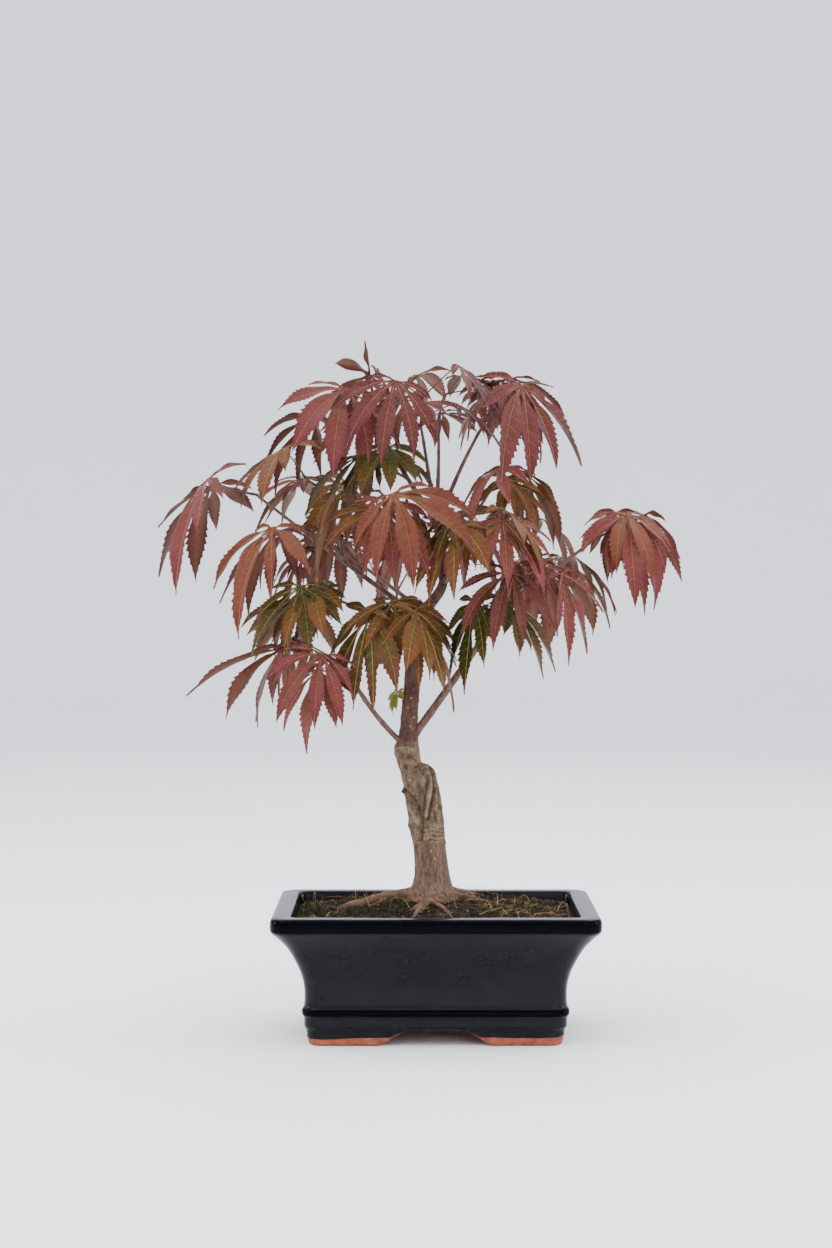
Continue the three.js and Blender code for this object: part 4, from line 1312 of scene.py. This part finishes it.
def make_mass(name, row, tip, twigs):
    """One mass of leaves with their veins; its stem, stalks and buds go with the twigs."""
    bearing, rise, length, seed = row[0], row[1], row[2], row[-1]
    end = tip + heading(bearing, rise) * length
    slot = slots["foliage_" + name]
    skin = Skin()
    tone = seeded(seed + 300)
    shape = seeded(seed + 600)
    for joint, hub, lobes in leaf_places(name, row, tip, end):
        lobes = uneven(lobes, shape)
        kind = pick(MIXES[slot], tone())
        points, rib, wide, face, columns = blade(hub, lobes, tone, BREADTHS[kind] * tone(0.85, 1.2))
        skin.add(points, BLADE_QUADS, BLADE_TRIS, BLADE_MAT, tint=leaf_tints(points, kind, tone))
        vein = VEIN_TONES["pale" if kind in PALE_VEINED else "red"]
        veins(skin, rib, wide, face, columns, lobes[:, 3].max(), vein)
        stalk(twigs, joint, hub, 0.55, 0.06)
    line = spine([tip - heading(bearing, rise) * 1.5, tip, (tip + end) / 2, end], 8)
    tube(twigs, line, knuckled(np.linspace(0.95, 0.7, len(line)), line, 4, 8, 0.3), 8, TWIG_MAT)
    for side in (-1, 1):
        bud = end + heading(bearing + 30 * side, rise + 10) * 2.6
        tube(twigs, bent(end, (end + bud) / 2, bud, 4), [0.5, 0.75, 0.7, 0.4, 0.1], 6, TWIG_MAT)
    piece = skin.build("leaves_" + name, [LEAF, VEIN], tinted=True)
    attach(piece, "root")
    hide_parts("foliage_" + name)


# ---- studio
# The floor's tones outwards, a painted fall-off of light from the bright middle to the darker wall, and where
# they start and over how many metres they change.
FLOOR_FALLOFF_TONES = [(252, 252, 252), (236, 237, 238), (216, 217, 219)]
FLOOR_FALLOFF_SPAN = (0.5, 2.4)
WORLD_TONE = (224, 227, 233)
WORLD_STRENGTH = 4.5
# Distance from the middle and height of the wall that the floor curves up into, in metres.
BOWL = [(2.6, 0), (3.0, 0.09), (3.3, 0.35), (3.45, 0.8), (3.5, 1.6), (3.5, 4.2)]
STUDIO_SIDES = 96
# Name, place in millimetres, size in metres and power in watts.
LAMPS = [
    ("key", (-900, -1100, 1700), 1.1, 10),
    ("fill", (700, -1900, 760), 0.9, 9),
    ("rim", (500, 1300, 1500), 1.2, 8),
    ("side_left", (-1500, -60, 460), 0.2, 8),
    ("side_right", (1500, -60, 460), 0.2, 8),
]
LAMP_TINT = (1.0, 0.985, 0.965)
LAMP_AIM = (0, 0, 220)


def make_studio():
    """A pale floor with a painted fall-off of light, a little darker with distance, that curves up into a
    wall, in even light.
    """
    skin = Skin()
    wall = spine(np.array([(r, 0, h) for r, h in BOWL]), 8)
    turns = turns_of(STUDIO_SIDES)
    level = np.linspace(0.02, 2.5, 40)
    radii = np.concatenate([level, wall[:, 0]])[:, None]
    heights = np.concatenate([0 * level, np.maximum(wall[:, 2], 0)])[:, None]
    where = np.stack([radii * np.cos(turns), radii * np.sin(turns), heights + 0 * turns], -1) / MM
    # Painted light: the floor and the wall are painted darker outwards from the middle.
    painted_falloff = (np.append(np.repeat(radii[:, 0], STUDIO_SIDES), 0) - FLOOR_FALLOFF_SPAN[0]) / FLOOR_FALLOFF_SPAN[1]
    skin.add(np.vstack([where.reshape(-1, 3), (0, 0, 0)]), grid_quads(len(where), STUDIO_SIDES, True),
             fan(np.arange(STUDIO_SIDES), where.size // 3, flip=True), tint=blend(FLOOR_FALLOFF_TONES, painted_falloff))
    paper = surface("paper", FLOOR_FALLOFF_TONES[0], 0.9, 0.1)
    tinted(paper, 400, 0.985, 1.015)
    floor = skin.build("studio_floor", [paper], tinted=True)
    world = bpy.data.worlds.new("studio")
    world.use_nodes = True
    sky = world.node_tree.nodes["Background"]
    sky.inputs["Color"].default_value = linear(WORLD_TONE)
    sky.inputs["Strength"].default_value = WORLD_STRENGTH
    bpy.context.scene.world = world
    for name, spot, size, power in LAMPS:
        lamp = bpy.data.lights.new(name, "AREA")
        lamp.energy = power
        lamp.size = size
        lamp.color = LAMP_TINT
        holder = put(name, lamp)
        holder.visible_camera = False
        holder.location = place(spot)
        aim = Vector(place(LAMP_AIM)) - holder.location
        holder.rotation_euler = aim.to_track_quat("-Z", "Y").to_euler()


# ---- the plant
slots = {entry["node"]: entry["material_slot"] for entry in frame["record"]["subparts"]}
make_studio()
make_pot()
make_soil()
make_litter()
make_trunk()
paths = bough_paths()
make_boughs(paths)
twigs = Skin()
for name, row in SPRAYS.items():
    make_mass(name, row, paths[name][-1], twigs)
make_shoot(twigs)
piece = twigs.build("leaf_stalks", [TWIG, STALK])
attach(piece, "root")
